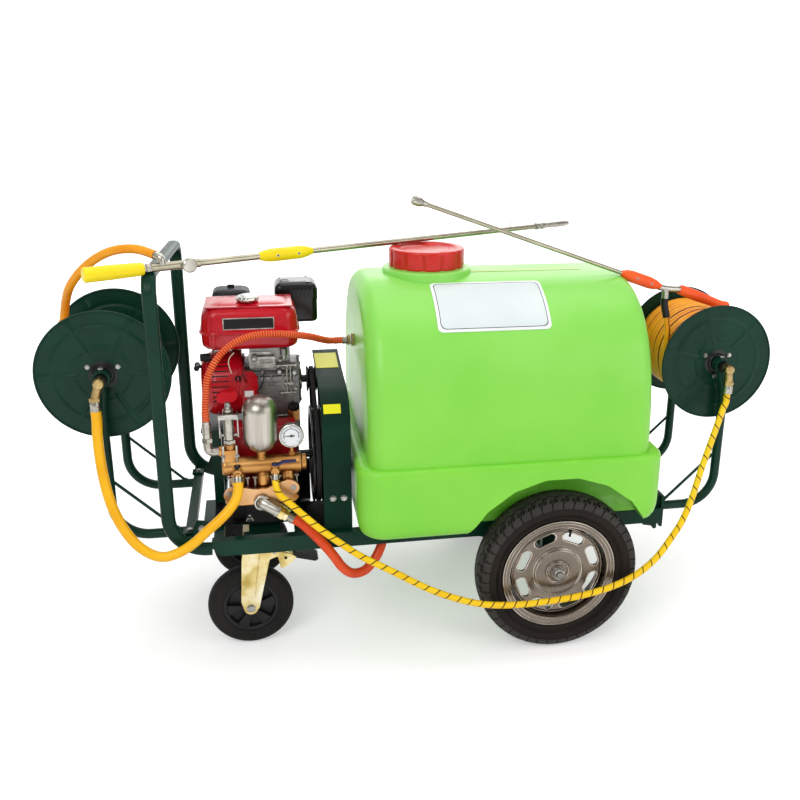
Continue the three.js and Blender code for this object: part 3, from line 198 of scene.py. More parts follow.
class Piece:
    """One visible object, gathered from simple solids that share its body."""

    def __init__(self, name, body, *materials):
        self.name, self.body, self.materials = name, body, materials
        self.bm = bmesh.new()
        self.uv = self.bm.loops.layers.uv.new("run")

    def verts(self, points):
        return [self.bm.verts.new((p[0] * MM, p[1] * MM, p[2] * MM)) for p in points]

    def face(self, verts, mi=0, uvs=None):
        if len(set(verts)) < 3:
            return None
        try:
            f = self.bm.faces.new(verts)
        except ValueError:
            return None
        f.smooth = True
        f.material_index = mi
        if uvs:
            for loop, co in zip(f.loops, uvs):
                loop[self.uv].uv = co
        return f

    def grid(self, rings, mi=0, wrap=True, ends=(True, True), loop=False, lengths=None):
        rows = [self.verts(r) for r in rings]
        n = len(rows[0])
        turns = list(zip(rows, rows[1:]))
        if loop:
            turns.append((rows[-1], rows[0]))
        for i, (a, b) in enumerate(turns):
            s0 = lengths[i] if lengths else i
            s1 = lengths[i + 1] if lengths and i + 1 < len(lengths) else s0 + 1
            for j in range(n if wrap else n - 1):
                k = (j + 1) % n
                v0, v1 = j / n, (j + 1) / n
                self.face([a[j], a[k], b[k], b[j]], mi, [(s0, v0), (s0, v1), (s1, v1), (s1, v0)])
        if wrap and not loop:
            if ends[0]:
                self.face(rows[0][::-1], mi)
            if ends[1]:
                self.face(rows[-1], mi)

    def lathe(self, profile, axis, at, seg=48, mi=0, closed=False, radial=None):
        """profile holds (radius, distance along the axis)."""
        pts = [(max(r, 0.0), a) for r, a in profile]

        def place(r, a, t):
            if radial:
                r = radial(r, a, t)
            c, s = r * math.cos(t), r * math.sin(t)
            if axis == "z":
                return (at[0] + c, at[1] + s, at[2] + a)
            if axis == "y":
                return (at[0] + c, at[1] + a, at[2] - s)
            return (at[0] + a, at[1] + c, at[2] + s)

        rows = []
        for r, a in pts:
            if r < 1e-6:
                rows.append(self.verts([place(0, a, 0)]))
            else:
                rows.append(self.verts([place(r, a, TAU * (j + 0.5) / seg) for j in range(seg)]))
        pairs = list(zip(rows, rows[1:]))
        if closed:
            pairs.append((rows[-1], rows[0]))
        for a, b in pairs:
            for j in range(seg):
                k = (j + 1) % seg
                if len(a) == 1 and len(b) == 1:
                    continue
                if len(a) == 1:
                    self.face([a[0], b[k], b[j]], mi)
                elif len(b) == 1:
                    self.face([a[j], a[k], b[0]], mi)
                else:
                    self.face([a[j], a[k], b[k], b[j]], mi)
        return self

    def disc(self, r, a0, a1, axis, at, seg=32, mi=0, r2=1.0):
        lo, hi = min(a0, a1), max(a0, a1)
        return self.lathe(soften([(0, lo), (r, lo), (r, hi), (0, hi)], min(r2, (hi - lo) / 3)), axis, at,
                          seg, mi)

    def hexa(self, across, a0, a1, axis, at, mi=0):
        r = across / math.cos(math.pi / 6)
        c = min(1.0, abs(a1 - a0) * 0.2)
        lo, hi = min(a0, a1), max(a0, a1)
        pts = [(0, lo), (r - c, lo), (r, lo + c), (r, hi - c), (r - c, hi), (0, hi)]
        return self.lathe(pts, axis, at, 6, mi)

    def solid(self, verts_before, bevel):
        """Rounds the edges of what was made since verts_before."""
        if bevel <= 0:
            return
        self.bm.verts.ensure_lookup_table()
        new = self.bm.verts[verts_before:]
        chosen = set(new)
        edges = [e for e in self.bm.edges if e.verts[0] in chosen and len(e.link_faces) == 2
                 and e.calc_face_angle(0) > 0.5]
        if edges:
            made = bmesh.ops.bevel(self.bm, geom=edges, offset=bevel * MM, segments=2, profile=0.5,
                                   affect="EDGES", clamp_overlap=True)
            for f in made["faces"]:
                f.smooth = True

    def box(self, x, y, z, mi=0, bevel=0.8, turn=None):
        n = len(self.bm.verts)
        m = turn or Matrix.Identity(4)
        corner = [m @ Vector((a, b, c)) for a in x for b in y for c in z]
        v = self.verts(corner)
        for idx in ((0, 1, 3, 2), (4, 6, 7, 5), (0, 4, 5, 1), (2, 3, 7, 6), (0, 2, 6, 4), (1, 5, 7, 3)):
            self.face([v[i] for i in idx], mi)
        self.solid(n, bevel)
        return self

    def plate(self, outline, plane, lo, hi, mi=0, bevel=0.6, turn=None):
        """An outline in the plane 'xz', 'yz' or 'xy', pushed from lo to hi."""
        n = len(self.bm.verts)
        m = turn or Matrix.Identity(4)

        def place(a, b, c):
            return m @ Vector({"xz": (a, c, b), "yz": (c, a, b), "xy": (a, b, c)}[plane])

        low = self.verts([place(a, b, lo) for a, b in outline])
        high = self.verts([place(a, b, hi) for a, b in outline])
        k = len(outline)
        self.face(low[::-1], mi)
        self.face(high, mi)
        for i in range(k):
            self.face([low[i], low[(i + 1) % k], high[(i + 1) % k], high[i]], mi)
        self.solid(n, bevel)
        return self

    def sweep(self, path, section, mi=0, size=None, lift=None, loop=False):
        """Moves a section along a path without twist; size gives a factor for each distance."""
        pts = [v3(p) for p in path]
        n = len(pts)
        tangents = []
        for i in range(n):
            t = Vector((0, 0, 0))
            if i > 0 or loop:
                t += (pts[i] - pts[i - 1]).normalized()
            if i < n - 1 or loop:
                t += (pts[(i + 1) % n] - pts[i]).normalized()
            tangents.append(t.normalized())
        start = lift or (Vector((0, 1, 0)) if abs(tangents[0].z) > 0.9 else Vector((0, 0, 1)))
        normal = (start - tangents[0] * start.dot(tangents[0])).normalized()
        rings, lengths, s = [], [], 0.0
        for i in range(n):
            if i:
                normal = tangents[i - 1].rotation_difference(tangents[i]) @ normal
                s += (pts[i] - pts[i - 1]).length
            side = tangents[i].cross(normal)
            k = size(s) if size else 1.0
            rings.append([pts[i] + normal * (a * k) + side * (b * k) for a, b in section])
            lengths.append(s * MM)
        self.grid(rings, mi, True, (True, True), loop, lengths)
        return self

    def bolt(self, at, axis, across=8, head=5, mi=0, washer=True, stud=0, way=1):
        """A hexagon head with its washer; it stands along way."""
        if washer:
            self.disc(across * 1.35, 0, way * 1.2, axis, at, 20, mi, 0.3)
        self.hexa(across, way * 1.2, way * (1.2 + head), axis, at, mi)
        if stud:
            self.disc(across * 0.55, way * head, way * (head + stud), axis, at, 14, mi, 0.5)
        return self

    def move(self, first, m):
        """Moves what was made since the vertex numbered first; m works in millimetres."""
        self.bm.verts.ensure_lookup_table()
        scaled = Matrix.Scale(MM, 4) @ m @ Matrix.Scale(1 / MM, 4)
        for v in self.bm.verts[first:]:
            v.co = scaled @ v.co

    def done(self, replaces=(), sharp=0.7, weighted=True):
        bmesh.ops.recalc_face_normals(self.bm, faces=self.bm.faces)
        mark_sharp(self.bm, sharp)
        obj = add_object(self.name, self.bm, self.materials)
        if weighted:
            weigh_normals(obj)
        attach(obj, self.body)
        if replaces:
            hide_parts(*replaces)
        return obj


# ---------------------------------------------------------------- materials
def rgb(text):
    out = []
    for i in (0, 2, 4):
        c = int(text[i:i + 2], 16) / 255
        out.append(c / 12.92 if c <= 0.04045 else ((c + 0.055) / 1.055) ** 2.4)
    return (*out, 1.0)


class Shade:
    """A node material: colour and roughness vary over the surface, with a fine bump."""

    def __init__(self, name, metal=0.0, coat=0.0, coat_rough=0.1, spec=0.5):
        self.m = bpy.data.materials.new(name)
        self.m.use_nodes = True
        self.nt = self.m.node_tree
        self.b = self.nt.nodes["Principled BSDF"]
        for key, value in (("Metallic", metal), ("Coat Weight", coat), ("Coat Roughness", coat_rough),
                           ("IOR", 1.5), ("Specular IOR Level", spec)):
            self.b.inputs[key].default_value = value
        self.coord = self.nt.nodes.new("ShaderNodeTexCoord")
        self.height = None

    def link(self, a, b):
        self.nt.links.new(a, b)

    def node(self, kind, **values):
        """A new node with the named inputs set."""
        n = self.nt.nodes.new("ShaderNode" + kind)
        for key, value in values.items():
            n.inputs[key].default_value = value
        return n

    def split(self, output):
        """The parts X, Y and Z of a coordinate."""
        n = self.node("SeparateXYZ")
        self.link(self.coord.outputs[output], n.inputs[0])
        return n.outputs

    def noise(self, scale, detail=4, stretch=(1, 1, 1)):
        place = self.node("Mapping", Scale=stretch)
        self.link(self.coord.outputs["Object"], place.inputs["Vector"])
        n = self.node("TexNoise", Scale=scale, Detail=detail, Roughness=0.55)
        self.link(place.outputs["Vector"], n.inputs["Vector"])
        return n.outputs["Fac"]

    def ramp(self, source, stops):
        n = self.node("ValToRGB")
        e = n.color_ramp.elements
        while len(e) < len(stops):
            e.new(0.5)
        for el, (pos, col) in zip(e, stops):
            el.position = pos
            el.color = col if len(col) == 4 else (*col, 1)
        self.link(source, n.inputs["Fac"])
        return n.outputs["Color"]

    def math(self, op, a, b=0.5, c=None):
        n = self.node("Math")
        n.operation = op
        for k, x in enumerate((a, b) if c is None else (a, b, c)):
            if isinstance(x, (int, float)):
                n.inputs[k].default_value = x
            else:
                self.link(x, n.inputs[k])
        return n.outputs["Value"]

    def mix(self, fac, a, b):
        n = self.node("Mix")
        n.data_type = "RGBA"
        for sock, x in ((n.inputs[0], fac), (n.inputs[6], a), (n.inputs[7], b)):
            if isinstance(x, (int, float, tuple)):
                sock.default_value = x
            else:
                self.link(x, sock)
        return n.outputs[2]

    def vary(self, dark, light, scale=12, detail=5, stretch=(1, 1, 1)):
        return self.ramp(self.noise(scale, detail, stretch), [(0.3, rgb(dark)), (0.7, rgb(light))])

    def edges(self, colour, worn, amount=0.5, scale=70):
        """Paint worn through along the sharp edges."""
        g = self.node("NewGeometry")
        edge = self.ramp(g.outputs["Pointiness"], [(0.53, (0, 0, 0)), (0.6, (1, 1, 1))])
        patch = self.ramp(self.noise(scale, 6), [(0.5, (0, 0, 0)), (0.62, (1, 1, 1))])
        both = self.math("MULTIPLY", edge, patch)
        return self.mix(self.math("MULTIPLY", both, amount), colour, rgb(worn))

    def colour(self, c):
        self.link(c, self.b.inputs["Base Color"])
        return self

    def rough(self, low, high, scale=40, stretch=(1, 1, 1)):
        self.link(self.math("MULTIPLY_ADD", self.noise(scale, 5, stretch), high - low, low),
                  self.b.inputs["Roughness"])
        return self

    def bump(self, source, strength=0.2, distance=0.0004):
        n = self.node("Bump", Strength=strength, Distance=distance)
        self.link(source, n.inputs["Height"])
        if self.height is not None:
            self.link(self.height, n.inputs["Normal"])
        self.height = n.outputs["Normal"]
        self.link(self.height, self.b.inputs["Normal"])
        return self


def paint(name, dark, light, worn="6f6f66", wear=0.12, coat=0.1, spec=0.28, low=0.2, high=0.38):
    s = Shade(name, coat=coat, coat_rough=0.12, spec=spec)
    s.colour(s.edges(s.vary(dark, light, 9), worn, wear)).rough(low, high, 25)
    return s.bump(s.noise(260, 3), 0.12, 0.0006).bump(s.noise(1400, 2), 0.05, 0.0002).m


def plastic(name, dark, light, low=0.3, high=0.5, grain=0.15, scale=700, coat=0.0, worn=None, spec=0.3):
    s = Shade(name, coat=coat, coat_rough=0.15, spec=spec)
    c = s.vary(dark, light, 7)
    s.colour(s.edges(c, worn, 0.35) if worn else c).rough(low, high, 30)
    return s.bump(s.noise(scale, 3), grain, 0.0003).m


def metal(name, dark, light, low=0.22, high=0.42, scale=30, brushed=None, grain=0.12, cast=False,
          streak=(1, 1, 1)):
    s = Shade(name, metal=1.0)
    s.colour(s.vary(dark, light, scale, 5, streak))
    s.rough(low, high, 90, brushed or (1, 1, 1))
    if brushed:
        s.bump(s.noise(500, 4, brushed), grain, 0.00015)
    elif cast:
        s.bump(s.noise(520, 6), 0.35, 0.0006).bump(s.noise(90, 3), 0.15, 0.0008)
    else:
        s.bump(s.noise(350, 4), grain, 0.0002)
    return s.m


def hose_skin(name, dark, light, line=None, wraps=30.0, rough=(0.28, 0.42), width=0.1, spin=1.0):
    """A smooth skin; line adds spin thin dark threads that wind round it, or rings where spin is 0, which
    on the ribbed hose sit in its valleys as painted shade.
    """
    s = Shade(name, coat=0.06, coat_rough=0.2, spec=0.24)
    c = s.vary(dark, light, 16)
    if line:
        run = s.split("UV")
        turn = s.math("MULTIPLY_ADD", run["X"], wraps, s.math("MULTIPLY", run["Y"], spin))
        wave = s.math("PINGPONG", turn, 0.5)
        mask = s.ramp(wave, [(width * 0.5, (1, 1, 1)), (width * 0.5 + 0.02, (0, 0, 0))])
        c = s.mix(mask, c, rgb(line))
        s.colour(c).rough(*rough, 50)
        return s.bump(s.math("MULTIPLY", mask, -1.0), 0.4, 0.0006).bump(s.noise(900, 3), 0.08, 0.0002).m
    s.colour(c).rough(*rough, 50)
    return s.bump(s.noise(70, 2), 0.1, 0.0008).bump(s.noise(900, 3), 0.08, 0.0002).m


GREEN = paint("green_paint", "082c20", "0d392a", wear=0.0, coat=0.03, spec=0.15, low=0.28, high=0.42)
GUARD = paint("guard_paint", "072419", "0c3425", wear=0.0, coat=0.0, spec=0.1, low=0.4, high=0.55)
GREY = metal("grey_steel", "6d6b67", "918f89", 0.3, 0.5)
ZINC = metal("zinc_plate", "a8935a", "d6c583", 0.22, 0.4, 14)
STEEL = metal("bright_steel", "8a867d", "bdb9af", 0.2, 0.36, 20)
TUBE = metal("lance_alloy", "8d8875", "b4ae9a", 0.22, 0.34, 8, None, 0.0)
BOLT = metal("bolt_steel", "85837e", "bab8b1", 0.25, 0.45, 60)
CHROME = metal("chromed", "aaa8a2", "cfcdc7", 0.08, 0.2, 20)
BRASS = metal("brass_metal", "a9743c", "c8965a", 0.26, 0.44, 22, cast=True)
BRASS_DARK = metal("brass_worn", "86704a", "b39a68", 0.26, 0.42, 40)
ALLOY = metal("cast_alloy", "6f6f6d", "918f8c", 0.34, 0.55, 35, cast=True)
RIM = metal("rim_metal", "6a6058", "7f746a", 0.22, 0.34, 4)
# a paler, glossier copy of the rim metal for its rolled edges and slot lips: painted highlights
RIM_HIGHLIGHT = metal("rim_painted_highlight", "aaa095", "c6bdb2", 0.16, 0.26, 6)
BLACK_METAL = paint("black_metal", "0b0b0c", "131314", "45423e", 0.1, 0.05)
BLACK = plastic("black_plastic", "0b0b0c", "141415", 0.38, 0.58, 0.3, 900)
GLOSS_BLACK = plastic("black_alloy", "0a0a0b", "121213", 0.16, 0.32, 0.15, 300, 0.12)
RUBBER = plastic("black_rubber", "151413", "201e1d", 0.6, 0.82, 0.4, 500, spec=0.2)
BELT = plastic("belt_rubber", "161616", "242322", 0.6, 0.85, 0.5, 1200)
TYRE = plastic("tyre_rubber", "15100d", "231c17", 0.5, 0.72, 0.35, 450, spec=0.15)
# a lighter copy of the tyre rubber for the tread faces, painted light; a near-black copy for the cuts,
# painted shade
TREAD_LIT = plastic("tread_rubber_painted_light", "2b2925", "3a3733", 0.5, 0.72, 0.35, 450, spec=0.2)
SHADE_BLACK = plastic("near_black_painted_shade", "080706", "0d0b0a", 0.6, 0.8, 0.35, 450, spec=0.1)
RED = plastic("red_shell", "b30818", "c91023", 0.14, 0.26, 0.06, 200, 0.22, "5a1016")
CAST_RED = paint("red_casting", "9c0c18", "b8121f", "7d5a50", 0.1, 0.1)
LID = plastic("red_plastic", "bd1a14", "d52a20", 0.24, 0.38, 0.12, 500, 0.08)
YELLOW_GRIP = plastic("yellow_grip", "eed000", "fae31c", 0.3, 0.46, 0.15, 600)
ORANGE_GRIP = plastic("orange_grip", "f04a12", "ff6224", 0.3, 0.46, 0.15, 600)
STICKER = plastic("yellow_film", "e6df10", "f4ee2a", 0.3, 0.4, 0.05, 300)
WHITE = plastic("white_plate", "e6e9ea", "f3f5f5", 0.25, 0.35, 0.05, 300, 0.4)
PANEL = plastic("label_panel", "d2dcdb", "dbe4e2", 0.3, 0.4, 0.05, 300, 0.2)
INK = plastic("dark_line", "1b1e22", "26292e", 0.35, 0.45, 0.05, 300)
TAPE = plastic("pale_tape", "a2cb5c", "b6d872", 0.35, 0.45, 0.1, 300)
DIAL = plastic("dial_face", "e9ebee", "f6f7f8", 0.25, 0.35, 0.02, 300)
SEAL = plastic("thread_tape", "c3d0c6", "e6ebe4", 0.5, 0.7, 0.4, 900)

RIB_PITCH = 6.3
HOSE_PLAIN = hose_skin("yellow_hose", "f0ab08", "fcc01a")
HOSE_LINED = hose_skin("lined_hose", "f4c008", "fdd422", "5a3c08", 34.0)
HOSE_ORANGE = hose_skin("orange_hose", "ec9312", "f7a922")
HOSE_WOUND = hose_skin("wound_hose", "e88c08", "f6a812", "7a3f04", 0.8, (0.34, 0.48), 0.12, 2.0)
# dark rings laid into the valleys between the ribs: painted shade
HOSE_RIBBED = hose_skin("ribbed_hose_shaded_valleys", "e4501f", "f47440", "a3300c", 1000 / RIB_PITCH, (0.3, 0.42), 0.34,
                        0.0)
HOSE_RED = hose_skin("red_hose", "d23c14", "e85424")


def lime():
    s = Shade("lime_plastic", coat=0.12, coat_rough=0.22, spec=0.3)
    # paler towards the top of the shell: painted light on the upper tank, painted shade lower down
    high = s.math("MULTIPLY_ADD", s.split("Object")["Z"], 2.5, -1.35)
    c = s.mix(s.ramp(high, [(0.0, (0, 0, 0)), (1.0, (1, 1, 1))]), s.vary("7bd23a", "8ad946", 3.2, 3),
              s.vary("87d454", "93dc68", 3.2, 3))
    s.colour(s.edges(c, "a6e87c", 0.5, 30)).rough(0.3, 0.46, 10)
    s.b.inputs["Subsurface Weight"].default_value = 0.08
    s.b.inputs["Subsurface Radius"].default_value = (0.02, 0.03, 0.008)
    s.b.inputs["Subsurface Scale"].default_value = 0.2
    return s.bump(s.noise(34, 3), 0.14, 0.0022).bump(s.noise(420, 3), 0.12, 0.0004).m


LIME = lime()


def iridescent():
    """Yellow zinc plating: the colour drifts between straw, cream and pale green."""
    nt = ZINC.node_tree
    n = nt.nodes.new("ShaderNodeTexNoise")
    n.inputs["Scale"].default_value = 26
    n.inputs["Detail"].default_value = 2
    r = nt.nodes.new("ShaderNodeValToRGB")
    for el, (pos, col) in zip([r.color_ramp.elements[0], r.color_ramp.elements[1],
                               r.color_ramp.elements.new(0.5)],
                              ((0.3, "b59c55"), (0.72, "9fae7a"), (0.5, "dcc98c"))):
        el.position = pos
        el.color = rgb(col)
    c = nt.nodes.new("ShaderNodeTexCoord")
    nt.links.new(c.outputs["Object"], n.inputs["Vector"])
    nt.links.new(n.outputs["Fac"], r.inputs["Fac"])
    nt.links.new(r.outputs["Color"], nt.nodes["Principled BSDF"].inputs["Base Color"])


iridescent()


def dress(node, material, bevel):
    """A CAD solid that stays: it gets its material and rounded edges."""
    o = NODES[node]
    o.data.materials.clear()
    o.data.materials.append(material)
    for p in o.data.polygons:
        p.use_smooth = True
    o.modifiers.new("weld", "WELD").merge_threshold = 0.00002
    bevel_edges(o, bevel * MM, 2, 35)
    weigh_normals(o)


# ---------------------------------------------------------------- hoses
TAP_X = {"left": -491, "right": -401}
SWIVEL_Y = -194.3
SWIVEL_X = {"left": -808, "right": 799}
REEL_Z = {"left": 735, "right": 698}
REEL_X = {"left": -795, "right": 795}
INLET_KNEE = (-630, -214.2, 1030)
INLET_SLOPE = (-0.8, 0.553, 0.232)
INLET_END = tuple(a + 18 * b for a, b in zip(INLET_KNEE, INLET_SLOPE))


def tap_seat(x):
    return [(x, -235 - d * 0.447, 481 - d * 0.894) for d in (0.3, 8, 16)]


def swivel_seat(end):
    return [(SWIVEL_X[end], SWIVEL_Y, REEL_Z[end] - 66.3 - d) for d in (24, 12, 0)]


ROUTES = {
    "delivery_hose_left": tap_seat(TAP_X["left"]) + [
        (-497, -252, 446), (-515, -262, 422), (-542, -271, 398), (-567, -277, 379), (-605, -281, 347),
        (-643, -282, 326), (-674, -282, 320), (-701, -281, 329), (-732, -278, 355), (-762, -271, 401),
        (-784, -258, 455), (-797, -241, 508), (-805, -222, 566), (-808, -206, 612)] + swivel_seat("left"),
    "delivery_hose_right": tap_seat(TAP_X["right"]) + [
        (-393, -249, 448), (-368, -258, 425), (-334, -273, 395), (-294, -288, 361), (-251, -302, 330),
        (-208, -315, 301), (-131, -336, 262), (-35, -356, 211), (36, -365, 182), (100, -370, 164),
        (177, -371, 155), (266, -371, 156), (363, -371, 165), (446, -370, 184), (508, -365, 209),
        (564, -352, 245), (607, -335, 287), (646, -313, 326), (681, -286, 377), (715, -256, 444),
        (749, -229, 508), (776, -209, 562), (791, -198, 592)] + swivel_seat("right"),
    "lance_hose_left": [
        (-795 - 109.5 * math.cos(0.36), -3, 735 - 109.5 * math.sin(0.36)), (-904.5, -3, 735),
        (-904, -3, 790), (-898, -4, 825), (-890, -12, 861), (-879, -32, 899), (-861, -60, 938),
        (-825, -92, 982), (-783, -122, 1016), (-744, -150, 1036), (-708, -172, 1044), (-680, -183, 1043.5)]
    + [tuple(a + d * b for a, b in zip(INLET_END, INLET_SLOPE)) for d in (16, 8, 0.3)],
    "lance_hose_right": [
        (646, -86, 871.7), (646, -86, 862), (647, -87, 850), (654, -91, 818), (657, -98, 780),
        (655.5, -100, 740), (655.5, -100, 700), (657, -99, 665)],
    "return_hose": [
        (-560, -190, 627.3), (-560, -190, 640), (-560, -190, 654), (-557, -189, 690), (-551, -187, 730),
        (-534, -180, 766), (-512, -168, 792), (-476, -150, 813), (-435, -133, 822), (-385, -120, 820),
        (-337, -98, 810), (-300, -66, 796), (-268, -22, 776), (-247, 10, 763), (-232, 19, 760),
        (-221, 20, 760), (-209.6, 20, 760)],
    "suction_hose": [
        (-361 + 0.841 * d, -248 - 0.192 * d, 379 - 0.505 * d) for d in (0.3, 8, 16)] + [
        (-325, -259, 352), (-296, -270, 322), (-268, -276, 285), (-245, -276, 249), (-220, -268, 226),
        (-188, -252, 222), (-160, -234, 241), (-141, -220, 270), (-134, -213, 296), (-133, -212, 310),
        (-133, -212, 322), (-133, -212, 333.96)],
}


def cord(node, radius, material, size=None, spacing=5.0):
    path = catmull(ROUTES[node], spacing)
    piece = Piece("cord_" + node, "root", material)
    piece.sweep(path, circle(radius), size=size)
    obj = piece.done([node], weighted=False)


def ribs(pitch, depth, plain, total):
    def size(s):
        if s < plain or s > total - plain:
            return 1.0
        return 1.0 - depth * (0.5 + 0.5 * math.cos(TAU * s / pitch)) ** 0.7
    return size


def cords():
    cord("delivery_hose_left", 12.2, HOSE_PLAIN)
    cord("delivery_hose_right", 8.5, HOSE_LINED)
    cord("lance_hose_left", 10.4, HOSE_ORANGE)
    cord("lance_hose_right", 8.4, HOSE_WOUND)
    total = run_length(catmull(ROUTES["return_hose"]))
    cord("return_hose", 9.2, HOSE_RIBBED, ribs(RIB_PITCH, 0.2, 22, total), 0.8)
    total = run_length(catmull(ROUTES["suction_hose"]))

    def first_part(s):
        return 1.0 - (0.07 * (0.5 + 0.5 * math.cos(TAU * s / 6.0)) if 6 < s < 48 else 0.0)

    cord("suction_hose", 12.4, HOSE_RED, first_part, 1.5)


cords()

# ---------------------------------------------------------------- sizes shared with the solids
AXLE_Z = 213.161
WHEEL_X = 305
WHEEL_Y = 306
RAIL_BOTTOM = 293.961
RAIL_TOP = 333.961
DECK = 334.261
TANK_TOP = 945.261
BASE_TOP = DECK + 190
CASTER_Z = 109.848
CASTER_Y = 172
CASTER_TOP = RAIL_BOTTOM + 1 - 14
KING_X = -433
CASTER_X = -478
LID_SEAT = TANK_TOP + 52.3
LID_X = 12
DRUM_R = 97.3


# ---------------------------------------------------------------- frame, handle, stands, axle
def carrier():
    dress("frame", GREEN, 1.2)
    dress("engine_bench", GREEN, 1.0)
    dress("belt_guard", GUARD, 0.8)
    p = Piece("frame_fixings", "root", BOLT, GREEN, BLACK_METAL)
    for x, y in ((-555, -160), (-470, -160), (-380, -160)):
        p.bolt((x, y, DECK + 6), "z", 7, 5, 0, stud=9)
    for s in (-1, 1):
        for x in (-480, -392):
            for y in (s * (CASTER_Y - 36), s * (CASTER_Y + 36)):
                p.bolt((x, y, RAIL_BOTTOM - 3), "z", 6, 4, 0, way=-1)
        # brackets that clamp the tank's foot to the rail's end
        p.plate([(575, 334.3), (612, 334.3), (612, 366), (600, 366)], "xz", s * 236, s * 240, 1)
        for z in (318, 352):
            p.bolt((619, s * 205, z), "x", 6, 4, 0)
        # open end of the rail, closed by a moulded cap
        p.box((613.2, 615), (s * 251, s * 229), (RAIL_BOTTOM + 1, RAIL_TOP - 1), 2, 0.5)
    # hooked plate under the end of the near rail
    p.plate([(560, 294), (604, 294), (604, 276), (596, 274), (588, 284), (566, 288)], "xz", -250, -246, 1)
    p.done()


def handle():
    p = Piece("handle_tube", "root", GREEN)
    foot = RAIL_TOP - 20.5
    quarter = math.pi / 2

    def leg(side):
        post = -650 + side * 10
        pts = [(post + 98, side * 245, foot)]
        pts += [(x, side * 245, z) for x, z in arc(post + 90, foot + 90, 90, -quarter, -2 * quarter, 14)]
        return pts

    def corner(side):
        post = -650 + side * 10
        return [(post, side * y, z) for y, z in arc(203, 991.5 - 42, 42, 0, quarter, 10)]

    path = leg(-1) + corner(-1) + corner(1)[::-1] + leg(1)[::-1]
    section = soften([(16.5, 5), (9.5, 11), (-9.5, 11), (-16.5, 5), (-16.5, -5), (-9.5, -11), (9.5, -11),
                      (16.5, -5)], 6, 3, True)
    p.sweep(path, section)
    p.box((-629, -605), (-245, 245), (RAIL_TOP - 24, RAIL_TOP), 0, 1.2)
    for s in (-1, 1):
        p.box((-633, -602), (s * 190 - 15, s * 190 + 15), (RAIL_TOP - 1, RAIL_TOP + 6), 0, 1)
    p.done(["push_handle"])
    q = Piece("handle_brackets", "root", GREEN, BOLT)
    for s, post in ((-1, -660), (1, -640)):
        y0, y1 = sorted((s * 221, s * 217))
        q.plate([(post + 50, 334.2), (post + 92, 334.2), (post + 92, 376), (post + 62, 380),
                 (post + 50, 350)],
                "xz", y0, y1, 0)
        q.bolt((post + 76, y0, 357), "y", 7, 4, 1, way=-1)
        q.bolt((-617, s * 190, RAIL_TOP + 6), "z", 6, 4, 1)
    q.done()


def stand(end, side, where):
    s = -1 if end == "left" else 1
    z = REEL_Z[end]
    y = side * 152
    x = REEL_X[end]
    stand_x = x - 7 if end == "left" else x + 16
    foot_x = -629.3 if end == "left" else 619.3
    foot_z = RAIL_TOP - 14 if end == "left" else RAIL_BOTTOM - 1
    brace = 477 if end == "left" else 450
    p = Piece(f"stand_{end}_{where}", "root", GREEN, BOLT)
    q = math.pi / 2
    bend = arc(stand_x - s * 88, foot_z + 88, 88, -q, 0 if s > 0 else -2 * q, 14)
    path = [v3((foot_x, y, foot_z))] + [v3((a, y, b)) for a, b in bend]
    path += [v3((stand_x, y, z - 90)), v3((stand_x - s * 3, y, z - 60)), v3((x, y, z - 14))]
    p.sweep(path, circle(12.3, 24))
    rise = brace - foot_z - 9.5
    p.sweep([(stand_x, y, brace), (stand_x - s * rise * 1.03, y, foot_z + 9.5)], circle(3.9, 12))
    for px, pz in ((stand_x, brace), (stand_x - s * rise * 1.03, foot_z + 9.5)):
        p.disc(6.2, y - 5, y + 5, "y", (px, 0, pz), 16)
    p.lathe(soften([(14.3, -12), (21, -12), (21, 12), (14.3, 12)], 1.2, closed=True), "y", (x, y, z), 40,
            closed=True)
    p.disc(5, 16, 23, "z", (x, y, z), 12)
    p.bolt((x, y, z + 20.5), "z", 5.5, 4, 1, washer=False)
    p.done([f"reel_stand_{end}_{where}"])


def axle():
    p = Piece("axle_bar", "root", GREY, BOLT, BLACK_METAL)
    p.box((290, 320), (-253, 253), (AXLE_Z - 15, AXLE_Z + 15), 2, 2)
    for s, _ in SIDES:
        prof = soften([(0, 0), (14, 0), (14, 15), (9.9, 15), (9.9, 84), (9.9, 97), (8, 99.4), (0, 99.4)],
                      0.8)
        prof = [(r, s * (252.5 + a)) for r, a in prof]
        p.lathe(prof, "y", (WHEEL_X, 0, AXLE_Z), 32)
        p.lathe([(10.4, s * 333), (17, s * 333), (17, s * 336), (10.4, s * 336)], "y", (WHEEL_X, 0,
                                                                                        AXLE_Z), 32, 1,
                True)
        p.hexa(13.5, s * 336.2, s * 345, "y", (WHEEL_X, 0, AXLE_Z), 1)
        p.sweep([(WHEEL_X - 12, s * 348.2, AXLE_Z - 3), (WHEEL_X + 12, s * 348.2, AXLE_Z + 4)],
                circle(1.3, 8), 1)
    p.done(["axle"])


# ---------------------------------------------------------------- road wheels
def tread(theta, y, r):
    """How deep the pattern is cut at this place of the tyre."""
    if r < 184:
        return 0.0
    t = theta / TAU * 44
    f = t - math.floor(t)
    zig = abs(f - 0.5) * 2
    deep = 0.0
    for base, amp in ((-13, 5.5), (13, -5.5)):
        line = base + amp * (zig - 0.5) * 2
        deep = max(deep, 1 - abs(y - line) / 2.4)
    ay = abs(y)
    if ay > 15:
        lean = t + (ay - 15) / 22 * 0.5 + (0.5 if y > 0 else 0)
        g = lean - math.floor(lean)
        deep = max(deep, 1 - abs(g - 0.5) / 0.075)
        half = lean * 2
        h = half - math.floor(half)
        if 27 < ay < 36:
            deep = max(deep, 1 - abs(h - 0.5) / 0.2)
    fade = min(1.0, (r - 184) / 10)
    return 3.4 * min(1.0, max(0.0, deep) * 1.6) * fade


